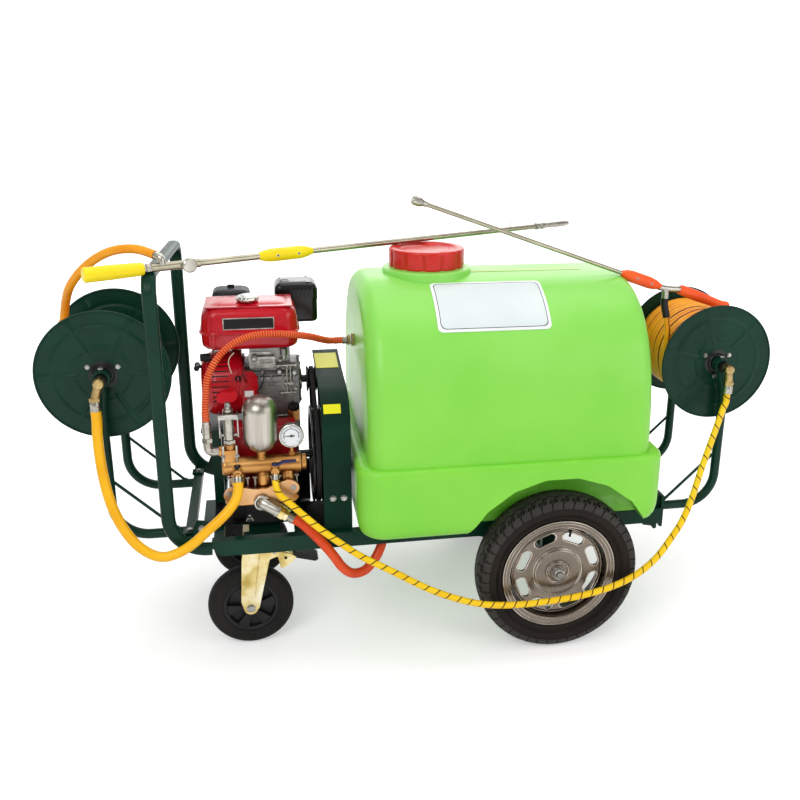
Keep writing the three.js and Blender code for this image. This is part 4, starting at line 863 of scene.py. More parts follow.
def tyre(side, where):
    outer = soften(mirrored([(129, -27.6), (151, -29.8), (158, -36), (174, -43.4), (192, -43.4),
                             (201, -41.5),
                             (208, -34), (211.5, -22), (213.0, -8)]), 5, 3, least=0.06)
    fine = []
    for (r0, a0), (r1, a1) in zip(outer, outer[1:]):
        n = max(1, round(math.hypot(r1 - r0, a1 - a0) / (2.0 if max(r0, r1) > 183 else 6.0)))
        fine += [(r0 + (r1 - r0) * k / n, a0 + (a1 - a0) * k / n) for k in range(n)]
    fine.append(outer[-1])

    def shape(rr, a, t):
        return rr - tread(t, a, rr)

    seg = 440
    p = Piece(f"tyre_rubber_{where}", f"wheel_{where}", TYRE, TREAD_LIT, SHADE_BLACK)
    whole = fine + [(129, 27.4), (128.6, 0), (129, -27.4)]
    p.lathe(whole, "y", (WHEEL_X, side * WHEEL_Y, AXLE_Z), seg, radial=shape)
    p.bm.faces.ensure_lookup_table()
    # tread faces take the lighter rubber as painted light, and the deep cuts the near-black rubber as
    # painted shade
    for i, ((r0, a0), (r1, a1)) in enumerate(zip(whole, whole[1:])):
        if min(r0, r1) > 187:
            for j in range(seg):
                deep = tread(TAU * (j + 1) / seg, (a0 + a1) / 2, (r0 + r1) / 2)
                p.bm.faces[i * seg + j].material_index = 2 if deep > 1.1 else 1
    # fine ridges moulded round the sidewalls
    for s in (-1, 1):
        for rr, a in ((163, 40.2), (167.5, 42.2), (187.5, 43.6)):
            ringp = [(rr - 0.9, s * (a - 0.6)), (rr - 0.4, s * (a + 0.5)), (rr + 0.4, s * (a + 0.5)),
                     (rr + 0.9, s * (a - 0.6))]
            p.lathe(ringp, "y", (WHEEL_X, side * WHEEL_Y, AXLE_Z), 120, closed=True)
    p.done([f"tyre_{where}"], sharp=0.9, weighted=False)


def stadium(cx, cy, half, r, n=10):
    """A slot along X about (cx, cy)."""
    pts = arc(cx + half, cy, r, -math.pi / 2, math.pi / 2, n)
    return pts + arc(cx - half, cy, r, math.pi / 2, 3 * math.pi / 2, n)


def cut_with(obj, cutters):
    for c in cutters:
        b = obj.modifiers.new("cut", "BOOLEAN")
        b.operation = "DIFFERENCE"
        b.solver = "EXACT"
        b.object = c
    bpy.context.view_layer.update()
    graph = bpy.context.evaluated_depsgraph_get()
    mesh = bpy.data.meshes.new_from_object(obj.evaluated_get(graph))
    obj.modifiers.clear()
    obj.data = mesh
    for c in cutters:
        bpy.data.objects.remove(c)
    return obj


def loose(name, build):
    """A helper object used only for a cut."""
    p = Piece(name, "root")
    build(p)
    bmesh.ops.recalc_face_normals(p.bm, faces=p.bm.faces)
    return add_object(name, p.bm)


def finish_cut(obj, replaces, sharp=0.6):
    bm = bmesh.new()
    bm.from_mesh(obj.data)
    for f in bm.faces:
        f.smooth = True
    mark_sharp(bm, sharp)
    bm.to_mesh(obj.data)
    bm.free()
    weigh_normals(obj)
    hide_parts(*replaces)


def rim(side, where):
    at = (WHEEL_X, side * WHEEL_Y, AXLE_Z)

    def o(v):
        return side * v

    # the well of the rim with its flanges, then the pressed disc with its hub
    p = Piece(f"rim_sheet_{where}", f"wheel_{where}", RIM)
    flange = mirrored([(128.5, 26.5), (131.5, 30), (140, 31), (146, 33.2), (149.6, 33), (149.6, 31),
                       (146, 29.5), (139, 28.5), (133, 25), (132, 8), (127, 3)])
    flange += [(127, -10), (123.6, -5), (123.6, 5), (127, 10)]
    p.lathe(soften([(r, o(a)) for r, a in flange], 2, 2, True), "y", at, 120, closed=True)
    disc = [(10.4, 26), (18, 26), (18, 18), (30, 18.5), (34, 21), (48, 22.5), (60, 22), (66, 17.5),
            (72, 15.5),
            (84, 17.8), (98, 18.4), (112, 17.6), (118, 15.5), (123.9, 10), (123.9, 5), (117, 11.5),
            (112, 13.6), (98, 14.4), (84, 13.8), (72, 11.5), (65, 13.5), (59, 18), (48, 18.5), (35, 17),
            (31, 14.5), (18, 14), (18, -38), (10.4, -38)]
    p.lathe(soften([(r, o(a)) for r, a in disc], 2.5, 3, True, 0.2), "y", at, 120, closed=True)
    obj = p.done((), 0.6, weighted=False)
    cutters = []
    for i in range(8):
        turn = turned_at(at, (i + 0.5) * TAU / 8, "Y")
        cutters.append(loose(f"slot{i}", lambda q, t=turn: q.plate(
            stadium(0, 98, 17, 11.5), "xz", o(12) if side > 0 else -26, 26 if side > 0 else o(12), 0, 0,
                                                                   t)))
    cut_with(obj, cutters)
    finish_cut(obj, [f"rim_{where}"])
    p = Piece(f"rim_lips_{where}", f"wheel_{where}", RIM, BOLT, RUBBER, RIM_HIGHLIGHT)
    # lips round the slots in the paler rim metal: painted highlights
    for i in range(8):
        turn = turned_at(at, (i + 0.5) * TAU / 8, "Y")
        path = [turn @ Vector((a, o(17.9), b)) for a, b in stadium(0, 98, 17.6, 13.2, 8)]
        p.sweep(path, circle(1.9, 8), 3, loop=True)
    # rolled edges of the flange, the well and the hub disc, in the paler rim metal: painted highlights
    for ring, out, thick in ((148.6, 33.1, 1.5), (141, 31.4, 1.0), (131.5, 29.8, 1.0), (120.5, 13.6, 1.0),
                             (65, 18.4, 2.0), (60, 22.1, 1.0), (29.5, 19.2, 1.2)):
        p.lathe([(ring + a, o(out + b)) for a, b in circle(thick, 8)], "y", at, 120, 3, True)
    p.lathe([(10.4, o(26.1)), (15.5, o(26.1)), (15.5, o(26.8)), (10.4, o(26.8))], "y", at, 32, 1, True)
    p.lathe(soften([(11, o(14)), (28, o(14)), (28, o(19.6)), (24, o(21)), (20, o(21)), (20, o(25)),
                    (11, o(25))],
                   1, 2, True), "y", at, 48, 0, True)
    # valve
    v = Matrix.Rotation(0.25, 4, "Y")
    a = v @ Vector((0, 0, 121))
    b = v @ Vector((0, 0, 103))
    p.sweep([Vector(at) + a + Vector((0, o(20), 0)), Vector(at) + b + Vector((0, o(23), 0))],
            circle(3, 10), 2)
    p.done((), weighted=False)


# ---------------------------------------------------------------- casters
def caster(side, where):
    y = side * CASTER_Y
    at = (CASTER_X, y, CASTER_Z)
    p = Piece(f"caster_roller_{where}", f"caster_roller_{where}", RUBBER, BLACK)
    tread_ring = soften(mirrored([(71, -20.6), (84, -21.9), (98, -21.4), (105, -17), (109.8, -8)]), 6, 4,
                        least=0.1)
    p.lathe(tread_ring + [(71, 0)], "y", at, 112, 0, closed=True)
    hub = soften(mirrored([(6.4, -23), (16, -23), (20, -21), (22, -8), (30, -5), (58, -5), (62, -17),
                           (66, -19.4), (71.4, -19.4)]), 2, 3, True)
    p.lathe(hub, "y", at, 96, 1, closed=True)
    for i in range(6):
        turn = turned_at(at, (i + 0.35) * TAU / 6, "Y")
        wedge = [(-3.5, 19), (3.5, 19), (14.5, 59.5), (0, 61.2), (-14.5, 59.5)]
        p.plate(wedge, "xz", -16, 16, 1, 1.2, turn)
    for s in (-1, 1):
        for ring in (76, 97):
            p.lathe([(ring - 1.6, s * 21.2), (ring, s * 22.2), (ring + 1.6, s * 21.2)], "y", at, 112, 0)
    p.done([f"caster_wheel_{where}"], weighted=False)

    top = CASTER_TOP
    p = Piece(f"caster_fork_plates_{where}", f"caster_{where}", ZINC, BOLT)
    outline = [(KING_X - 56, top), (KING_X + 38, top), (KING_X + 38, top - 24), (KING_X + 8, top - 34),
               (CASTER_X + 21, CASTER_Z - 2)]
    outline += arc(CASTER_X, CASTER_Z, 18, -0.25, -2.89, 10)
    outline += [(CASTER_X - 24, CASTER_Z + 20), (KING_X - 62, top - 30)]
    outline = soften(outline, 5, 3, True)
    for s in (-1, 1):
        lo, hi = sorted((y + s * 26.1, y + s * 28.9))
        p.plate(outline, "xz", lo, hi, 0, 0.6)
        # a pressed rib down each leg
        p.sweep([(KING_X - 16, y + s * 29, top - 8), (CASTER_X + 12, y + s * 29, CASTER_Z + 34)],
                circle(3.6, 12, 0.5), 0)
        p.bolt((CASTER_X, y + s * 29, CASTER_Z), "y", 8.5, 5.2, 1, way=s)
        p.disc(5, y + min(s * 28.8, s * 31.5), y + max(s * 28.8, s * 31.5), "y", (KING_X + 21, 0,
                                                                                  top - 14), 16, 1)
    p.box((KING_X - 56, KING_X + 38), (y - 28.9, y + 28.9), (top - 4, top), 0, 1.5)
    p.lathe(soften([(0, top - 1), (32, top - 1), (34, top + 1.5), (34, top + 4), (29, top + 6),
                    (29, top + 9.6),
                    (0, top + 9.6)], 1.2), "z", (KING_X, y, 0), 56, 0)
    p.disc(5.9, y - 28, y + 28, "y", (CASTER_X, 0, CASTER_Z), 24, 1)
    p.disc(9, top - 12, top - 3.5, "z", (KING_X, y, 0), 6, 1)
    p.done([f"caster_fork_{where}"])

    px, pz = KING_X + 21, CASTER_TOP - 14
    p = Piece(f"caster_pedal_{where}", f"brake_{where}", ZINC, BLACK)
    blade = soften([(px - 12, pz - 3), (px + 16, pz - 4), (px + 50, pz - 20), (px + 70, pz - 26),
                    (px + 70, pz - 22), (px + 50, pz - 15), (px + 16, pz + 3), (px - 12, pz + 3)], 1.5, 2,
                   True)
    p.plate(blade, "xz", y - 19.5, y + 19.5, 0, 0.5)
    p.plate(soften([(px + 46, pz - 24), (px + 104, pz - 40), (px + 112, pz - 34), (px + 108, pz - 28),
                    (px + 52, pz - 10), (px + 46, pz - 14)], 2.5, 3, True), "xz", y - 19.8, y + 19.8, 1,
            1.6)
    for i in range(4):
        z = pz - 16.2 - 2.95 * i
        p.box((px + 62 + 9 * i, px + 66 + 9 * i), (y - 15, y + 15), (z - 2, z + 0.5), 1, 0.5)
    # locking arms that carry the shoe
    arm = soften([(px + 4, pz - 4), (px + 40, pz - 12), (px + 56, pz - 22), (px + 46, pz - 34),
                  (px + 26, pz - 48),
                  (px + 14, pz - 52), (px + 12, pz - 34)], 4, 3, True)
    for s in (-1, 1):
        lo, hi = sorted((y + s * 20.2, y + s * 22.8))
        p.plate(arm, "xz", lo, hi, 0, 0.5)
        p.disc(4.2, lo - 1.4, hi + 1.4, "y", (px + 28, 0, pz - 22), 16, 1)
    p.disc(3.9, y - 25.6, y + 25.6, "y", (px, 0, pz), 20, 0)
    p.done([f"caster_brake_{where}"])


# ---------------------------------------------------------------- reels
def flange_lift(rr, t, up_first):
    """Pressed ribs: six spokes, a broad ring and arcs round the hub."""
    k = 6
    a = t * k / TAU + (0.25 if up_first else 0.0)
    off = (a - round(a)) * TAU / k * rr
    h = 0.0
    if rr > 52:
        half = 5.5 if rr < 118 else 8.0
        rise = max(0.0, 1 - (abs(off) / half) ** 2)
        fade = min(1.0, (rr - 52) / 8, max(0.0, (153 - rr) / 6))
        h = max(h, 2.3 * rise * fade)
    h = max(h, 2.3 * max(0.0, 1 - (abs(rr - 118) / 6.5) ** 2))
    b = abs(a - round(a)) * 2
    if b > 0.28:
        h = max(h, 1.7 * max(0.0, 1 - (abs(rr - 66) / 4.5) ** 2) * min(1.0, (b - 0.28) / 0.15))
    return h


def reel(end):
    x, z = REEL_X[end], REEL_Z[end]
    body = "reel_l" if end == "left" else "reel_r"
    p = Piece(f"reel_{end}_drum", body, GREEN, BOLT, BLACK_METAL)
    p.lathe([(93.5, -124.3), (96.9, -124.3), (96.9, 124.3), (93.5, 124.3)], "y", (x, 0, z), 96, closed=True)
    seg = 180
    radii = [27, 34, 42, 50, 55, 60, 63, 66, 69, 73, 80, 88, 96, 104, 109, 112, 115, 118, 121, 124, 128,
             134,
             140, 146, 150, 153]
    for f in (-1, 1):
        rows_out, rows_in = [], []
        for rr in radii:
            ring_out, ring_in = [], []
            for j in range(seg):
                t = TAU * j / seg
                h = flange_lift(rr, t, end == "right")
                px, pz = x + rr * math.cos(t), z + rr * math.sin(t)
                ring_out.append((px, f * (125.7 + h), pz))
                ring_in.append((px, f * (124.6 + h), pz))
            rows_out.append(ring_out)
            rows_in.append(ring_in)
        p.grid(rows_out, 0, True, (False, False))
        p.grid(rows_in, 0, True, (False, False))
        rolled = [(153 + 2.8 + 2.8 * math.cos(a), f * 125.6 + 2.6 * math.sin(a))
                  for a in [TAU * k / 10 for k in range(10)]]
        p.lathe(rolled, "y", (x, 0, z), 120, closed=True)
        boss = soften([(14.4, f * 133.9), (22, f * 133.9), (25.8, f * 131), (26, f * 127), (34, f * 126),
                       (34, f * 124.8), (14.4, f * 124.8)], 1.2, 2, True)
        p.lathe(boss, "y", (x, 0, z), 64, 2, True)
        for i in range(3):
            a = TAU * i / 3 + 0.5
            p.bolt((x + 40 * math.cos(a), f * 125.8, z + 40 * math.sin(a)), "y", 4.6, 3.0, 1, way=f)
    p.done([f"reel_{end}"], 0.8, weighted=False)

    q = Piece(f"reel_{end}_spindle", "root", BLACK_METAL)
    q.lathe(soften([(9, -178), (14, -178), (14, 172), (9, 172)], 1, 2, True), "y", (x, 0, z), 40,
            closed=True)
    q.done([f"reel_shaft_{end}"])

    q = Piece(f"swivel_{end}", "root", BRASS_DARK, STEEL)
    at = (x, SWIVEL_Y + 2, z)
    q.lathe(soften([(0, -14), (10, -14), (13, -11), (13, 6), (12, 8), (12, 14), (0, 14)], 1.2), "y", at, 40)
    q.lathe([(8.7, 13), (8.7, 30), (0, 30)], "y", at, 24)
    q.hexa(12.2, -4, 5, "y", at)
    ox = SWIVEL_X[end]
    q.sweep(bent([(x, SWIVEL_Y, z + 2), (x + (ox - x) * 0.9, SWIVEL_Y, z - 36), (ox, SWIVEL_Y, z - 52)],
                 12),
            circle(10.8, 24), 0)
    q.hexa(11.4, -44, -33, "z", (ox, SWIVEL_Y, z))
    q.lathe(soften([(0, -66), (12.8, -66), (12.8, -62), (12.2, -61), (12.2, -55), (12.8, -54), (12.8, -50),
                    (11.6, -46), (10.5, -42), (0, -42)], 0.8), "z", (ox, SWIVEL_Y, z), 36, 1)
    q.done([f"reel_swivel_{end}"])


def helix(end, turns, radius, centre, pitch, first):
    x, z = REEL_X[end], REEL_Z[end]
    pts = []
    per = 40
    n = turns * per
    for i in range(n + 1):
        t = math.pi + TAU * i / per
        pts.append(v3((x + centre * math.cos(t), first + pitch * i / per, z + centre * math.sin(t))))
    a = math.pi
    for sign, base in ((-1, pts[0]), (1, pts[-1])):
        along = Vector((-math.sin(a), 0, math.cos(a)))
        extra = base + along * (sign * 2 * radius)
        if sign < 0:
            pts.insert(0, extra)
        else:
            pts.append(extra)
    return pts


def wound():
    p = Piece("wound_hose_left", "reel_l", HOSE_ORANGE)
    r = 10.3
    p.sweep(helix("left", 4, r, DRUM_R + 10.5 + 4.4, 21.8, -127.5 + 3.3 + 10.5), circle(r, 16), 0)
    p.done(["hose_winding_left"], weighted=False)
    p = Piece("wound_hose_right", "reel_r", HOSE_WOUND)
    r = 8.5
    nested = math.sqrt(4 * r**2 - (18.9 / 2) ** 2)
    seat = DRUM_R + r + nested
    first = -127.5 + 3.3 + r
    p.sweep(helix("right", 12, r, seat, 18.9, first), circle(r * 0.998, 16), 0)
    # the layer below lies in the hollows between these turns, and its outer half shows
    p.sweep(helix("right", 11, r, seat - nested - 0.2, 18.9, first + 9.45), circle(r * 0.99, 14), 0)
    p.lathe([(97.4, -124), (99.5, -124), (99.5, 124), (97.4, 124)], "y", (REEL_X["right"], 0,
                                                                          REEL_Z["right"]), 64,
            closed=True)
    p.done(["hose_winding_right"], weighted=False)


# ---------------------------------------------------------------- tank
TANK_A, TANK_B = 323.0, 421.0
TANK_X = (-179.0, 543.0)
# the shell's section is a superellipse of this power
SHELL_POWER = 2.6


def shell_point(x, t, inset=0.0):
    a, b = TANK_A - inset, TANK_B - inset
    c, s = math.cos(t), math.sin(t)
    return (x, math.copysign(a * abs(c) ** (2 / SHELL_POWER), c),
            BASE_TOP + b * max(s, 0.0) ** (2 / SHELL_POWER))


def shell_ring(x, inset, floor):
    steps = 72
    pts = [shell_point(x, math.pi * i / steps, inset) for i in range(steps + 1)]
    a = TANK_A - inset
    return pts + [(x, -a, floor), (x, a, floor)]


def round_rect(x0, x1, y0, y1, r, z, steps=9):
    out = []
    for cx, cy, k in ((x1 - r, y1 - r, 0), (x0 + r, y1 - r, 1), (x0 + r, y0 + r, 2), (x1 - r, y0 + r, 3)):
        out += [(a, b, z) for a, b in arc(cx, cy, r, k * math.pi / 2, (k + 1) * math.pi / 2, steps)]
    return out


def moulded(p, x, y, radius, levels, mi=0, steps=9):
    p.grid([round_rect(x[0] + i, x[1] - i, y[0] + i, y[1] - i, max(radius - i / 2, 1), z, steps)
            for z, i in levels], mi)


def shell_edge():
    """The X of each ring of the shell, and how far it lies inside, with rounded ends."""
    n, r = 12, 45
    rows = []
    for k in range(n + 1):
        t = k / n * math.pi / 2
        rows.append((r * (1 - math.cos(t)), r * (1 - math.sin(t))))
    left = [(TANK_X[0] + x, i) for x, i in rows]
    right = [(TANK_X[1] - x, i) for x, i in rows][::-1]
    middle = [(TANK_X[0] + r + (TANK_X[1] - TANK_X[0] - 2 * r) * k / n, 0.0) for k in range(1, n)]
    return left + middle + right


def tank():
    p = Piece("tank_shell", "root", LIME)
    p.grid([shell_ring(x, i, BASE_TOP - 18) for x, i in shell_edge()])
    collar = [(0, -60), (122, -60), (117, -22), (115.2, 4), (114.6, 9), (111, 12.6), (104, 13), (96, 13.6),
              (90, 17), (88, 22), (88, 50), (86.5, 52), (0, 52)]
    p.lathe(soften(collar, 4, 4, least=0.15), "z", (LID_X, 0, TANK_TOP), 72)
    shell = p.done((), 1.2, weighted=False)
    q = Piece("tank_base", "root", LIME)
    moulded(q, (-207, 578), (-339, 339), 60,
            [(DECK, 34), (DECK + 1.5, 27), (DECK + 6, 18), (DECK + 13, 10), (DECK + 24, 4.5),
             (DECK + 40, 1),
             (DECK + 60, 0), (BASE_TOP - 26, 0), (BASE_TOP - 14, 0.4), (BASE_TOP - 7, 2.2),
             (BASE_TOP - 2.5, 6),
             (BASE_TOP - 0.3, 12), (BASE_TOP, 20)])
    base = q.done((), 1.2, weighted=False)
    cutters = []
    for s, _ in SIDES:
        y0, y1 = sorted((s * 250, s * 372))
        ngon = [(300 + 268 * math.cos(TAU * (i + 0.5) / 20), AXLE_Z + 268 * math.sin(TAU * (i + 0.5) / 20))
                for i in range(20)]
        cutters.append(loose("arch_cut", lambda k, a=ngon, lo=y0, hi=y1: k.plate(a, "xz", lo, hi, 0, 0)))
    cut_with(base, cutters)
    bevel_edges(base, 0.006, 3, 38)
    # no cutters: this applies the bevel
    cut_with(base, [])
    finish_cut(base, [], 0.8)
    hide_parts("tank")


def on_shell(x, y, lift):
    """A point above the shell's upper face at this X and Y, lifted along its normal."""
    def height(yy):
        return BASE_TOP + TANK_B * (1 - min(1, abs(yy) / TANK_A) ** SHELL_POWER) ** (1 / SHELL_POWER)

    z = height(y)
    slope = (height(y + 0.5) - height(y - 0.5))
    n = Vector((0, -slope, 1)).normalized()
    return Vector((x, y, z)) + n * lift


def label():
    """A plain plate with a thin border, curved over the shoulder of the tank."""
    ys = [-116 - 150 * k / 60 for k in range(61)]
    pts = [on_shell(0, y, 0) for y in ys]
    dist = [0.0]
    for a, b in zip(pts, pts[1:]):
        dist.append(dist[-1] + (b - a).length)

    def y_at(v):
        target = v * dist[-1]
        for k in range(60):
            if dist[k + 1] >= target:
                f = (target - dist[k]) / (dist[k + 1] - dist[k])
                return ys[k] + (ys[k + 1] - ys[k]) * f
        return ys[-1]

    p = Piece("label_plate", "root", WHITE, INK, PANEL)
    half_u, half_v = 142.0, 0.43 * dist[-1]
    corners = [(a, b) for a, b, _ in round_rect(-half_u, half_u, -half_v, half_v, 14, 0, 6)]
    outline = []
    for (u0, v0), (u1, v1) in zip(corners, corners[1:] + corners[:1]):
        steps = max(1, round(math.hypot(u1 - u0, v1 - v0) / 6))
        outline += [(u0 + (u1 - u0) * k / steps, v0 + (v1 - v0) * k / steps) for k in range(steps)]
    scales = [0.06, 0.25, 0.45, 0.65, 0.8, 0.9]

    def put(u, v, lift):
        return on_shell(139 + u, y_at((v + half_v) / dist[-1]), lift)

    def shrink(d):
        return [(math.copysign(max(abs(u) - d, 0), u), math.copysign(max(abs(v) - d, 0), v)) for u,
                v in outline]

    rings = [[put(u * k, v * k, 2.2) for u, v in shrink(9)] for k in scales]
    rings += [[put(u, v, 2.2) for u, v in shrink(d)] for d in (9, 6.6, 1.2)]
    rings += [[put(u, v, 1.6) for u, v in shrink(0)], [put(u, v, 0.2) for u, v in shrink(0)]]
    p.grid(rings[:7], 2, True, (True, False))
    p.grid(rings[6:], 0, True, (False, False))
    line = [[put(u, v, 2.5) for u, v in shrink(9)], [put(u, v, 2.5) for u, v in shrink(7.4)]]
    p.grid(line, 1, True, (False, False))
    p.done((), weighted=False)
    q = Piece("crown_tape", "root", TAPE)
    rows = []
    for k in range(25):
        x = 122 + 300 * k / 24
        rows.append([on_shell(x, y, 0.6) for y in (-34, -26, -18, -10)])
    q.grid(rows, 0, False)
    q.done((), weighted=False)


def lid():
    p = Piece("lid_cap", "lid", LID)
    z = LID_SEAT

    def grips(r, a, t):
        if r > 95 and a < z + 2.5:
            w = 0.5 + 0.5 * math.cos(t * 12)
            return r - 3.4 * (1 - w) ** 6
        if r > 90:
            w = 0.5 + 0.5 * math.cos(t * 12)
            return r - 1.6 * (1 - w) ** 6
        return r

    prof = [(0, z + 5), (30, z + 5.2), (56, z + 5.2), (60, z + 3.2), (72, z + 3.2), (76, z + 6),
            (80, z + 9.4),
            (86, z + 10), (93, z + 9.6), (96.6, z + 7.6), (97.8, z + 4), (98, z + 1), (97.8, z - 34),
            (97, z - 38.2), (90.5, z - 38.7), (89.8, z - 36), (89.8, z - 4), (0, z + 0.1)]
    p.lathe(soften(prof, 2.2, 3, least=0.2), "z", (LID_X, 0, 0), 288, radial=grips)
    p.done(["tank_lid"], 1.0, weighted=False)


def return_union():
    p = Piece("return_union", "root", BRASS_DARK, STEEL, SEAL)
    at = (-179.3, 20, 760)
    p.hexa(15, -7, -0.2, "x", at, 0)
    p.disc(12, -9.5, -7, "x", at, 24, 2)
    p.hexa(12, -17, -9.5, "x", at, 0)
    p.lathe(soften([(0, -30), (10.6, -30), (10.6, -27), (10, -26.4), (10, -21), (10.6, -20.4), (10.6, -18),
                    (9, -16), (0, -16)], 0.5), "x", at, 28, 1)
    p.done(["return_fitting"])


# ---------------------------------------------------------------- engine
# centres of the engine's crank and the pump's shaft as Y and Z, and the pulleys on them
CRANK = (40, 652)
PUMP_SHAFT = (-95, 490)
SMALL_PULLEY, BIG_PULLEY = 34, 125
PULLEY_X = (-307, -257)


def engine():
    foot = 547.3
    p = Piece("engine_castings", "root", ALLOY, BOLT, GLOSS_BLACK, RUBBER, BRASS)
    p.box((-472, -329), (-39.5, 121.5), (foot, foot + 13), 0, 2.5)
    case = soften([(-30, foot + 10), (112, foot + 10), (119.5, 600), (119.5, 690), (100, 705.5),
                   (-18, 705.5),
                   (-40, 680), (-41, 590)], 10, 4, True)
    p.plate(case, "yz", -471.5, -329.5, 0, 3)
    turn = turned_at((0, 40, 672), 0.5, "X")
    p.box((-448, -357), (20, 149), (-40, 40), 0, 3, turn)
    for i in range(9):
        y = 34 + 12 * i
        p.box((-449.7, -355.3), (y, y + 3), (-43.6, 43.6), 0, 0.8, turn)
    p.box((-438, -367), (146, 149.8), (-34, 34), 0, 4, turn)
    p.box((-452, -349), (-30, 60), (700, 764.5), 0, 4)
    # raised webs, bosses and the joint line of the side cover
    for z in (604, 626, 668, 690):
        p.box((-465, -336), (-43.6, -39), (z, z + 3.4), 0, 1.2)
    for x in (-462, -431, -402, -372, -343):
        p.box((x, x + 4), (-43.4, -39), (592, 694), 0, 1.2)
    p.box((-424, -378), (-44, -38), (632, 662), 0, 3)
    for x, z in ((-462, 697), (-420, 698), (-378, 698), (-340, 694), (-338, 650), (-338, 606), (-400, 590),
                 (-462, 594), (-466, 645)):
        p.disc(6.5, -43.6, -38, "y", (x, 0, z), 20, 0)
        p.hexa(4.2, -43.9, -42.5, "y", (x, 0, z), 1)
    # cover of the output shaft, seen beside the belts
    p.lathe(soften([(0, -1), (66, -1), (66, 3), (56, 6), (30, 6), (26, 10), (12, 10), (12, 12), (0, 12)],
                   2, 3),
            "x", (-329, CRANK[0], CRANK[1]), 56, 0)
    for i in range(7):
        a = TAU * i / 7 + 0.3
        p.bolt((-326, CRANK[0] + 61 * math.cos(a), CRANK[1] + 61 * math.sin(a)), "x", 4, 3.5, 1,
               washer=False)
    # oil filler: its boss and its plug
    p.box((-359, -331), (-53, -40), (567, 597), 4, 2.5)
    turn = turned_at((-345, -47, 599), 0.35, "X")
    n = len(p.bm.verts)
    p.lathe(soften([(0, 0), (13, 0), (14.5, 2), (14.5, 9), (12, 12), (0, 12)], 1.5), "z", (0, 0, 0), 36, 3)
    p.box((-2.5, 2.5), (-12, 12), (11, 15), 3, 1)
    p.move(n, turn)
    # oil drain, studs and the rods of the side cover
    for x0, x1, z, r in ((-387, -332, 716, 4.2), (-377, -334, 642, 4.2), (-388, -360, 580, 3.6),
                         (-367, -343, 667, 5)):
        p.disc(r, x0, x1, "x", (0, -45, z), 16, 1)
        for x in (x0 + 4, (x0 + x1) / 2, x1 - 6):
            p.hexa(r + 1.6, x, x + 4, "x", (0, -45, z), 1)
    for x in (-359, -350):
        p.disc(2.6, 644, 712, "z", (x, -45.5, 0), 12, 1)
    p.done(["engine_block"])

    q = Piece("carburettor_group", "root", ALLOY, BOLT, BLACK, BRASS, BLACK_METAL)
    # control plate with its lever, its spring and the carburettor seen under the fuel tank
    q.plate(soften([(-452, 708), (-395, 708), (-388, 716), (-388, 742), (-400, 750), (-446, 752),
                    (-456, 744)],
                   3, 3, True), "xz", -33, -30.4, 1, 0.4)
    q.disc(8.5, -50, -31, "y", (-440, 0, 738), 28, 0)
    q.disc(5, -54, -49, "y", (-440, 0, 738), 20, 1)
    q.box((-437, -388), (-46, -42), (735, 741), 1, 0.8)
    q.disc(9, 742, 760, "z", (-365, -36, 0), 28, 0)
    q.disc(5.5, 732, 743, "z", (-365, -36, 0), 20, 1)
    q.box((-384, -336), (-40, -31), (715, 722), 0, 2)
    q.disc(4, -45, -31, "y", (-375, 0, 729), 16, 1)
    coil = [v3((-428 + 34 * k / 90, -45 + 2.2 * math.sin(TAU * k / 8), 726 + 2.2 * math.cos(TAU * k / 8)))
            for k in range(91)]
    q.sweep(coil, circle(0.5, 6), 1)
    q.sweep(catmull([(-462, -37, 724), (-470, -46, 706), (-468, -52, 690), (-462, -50, 676)], 3),
            circle(1.4, 8), 4)
    q.sweep(catmull([(-416, -44, 704), (-420, -50, 680), (-428, -50, 660), (-440, -52, 648)], 3),
            circle(1.6, 8), 2)
    q.done()


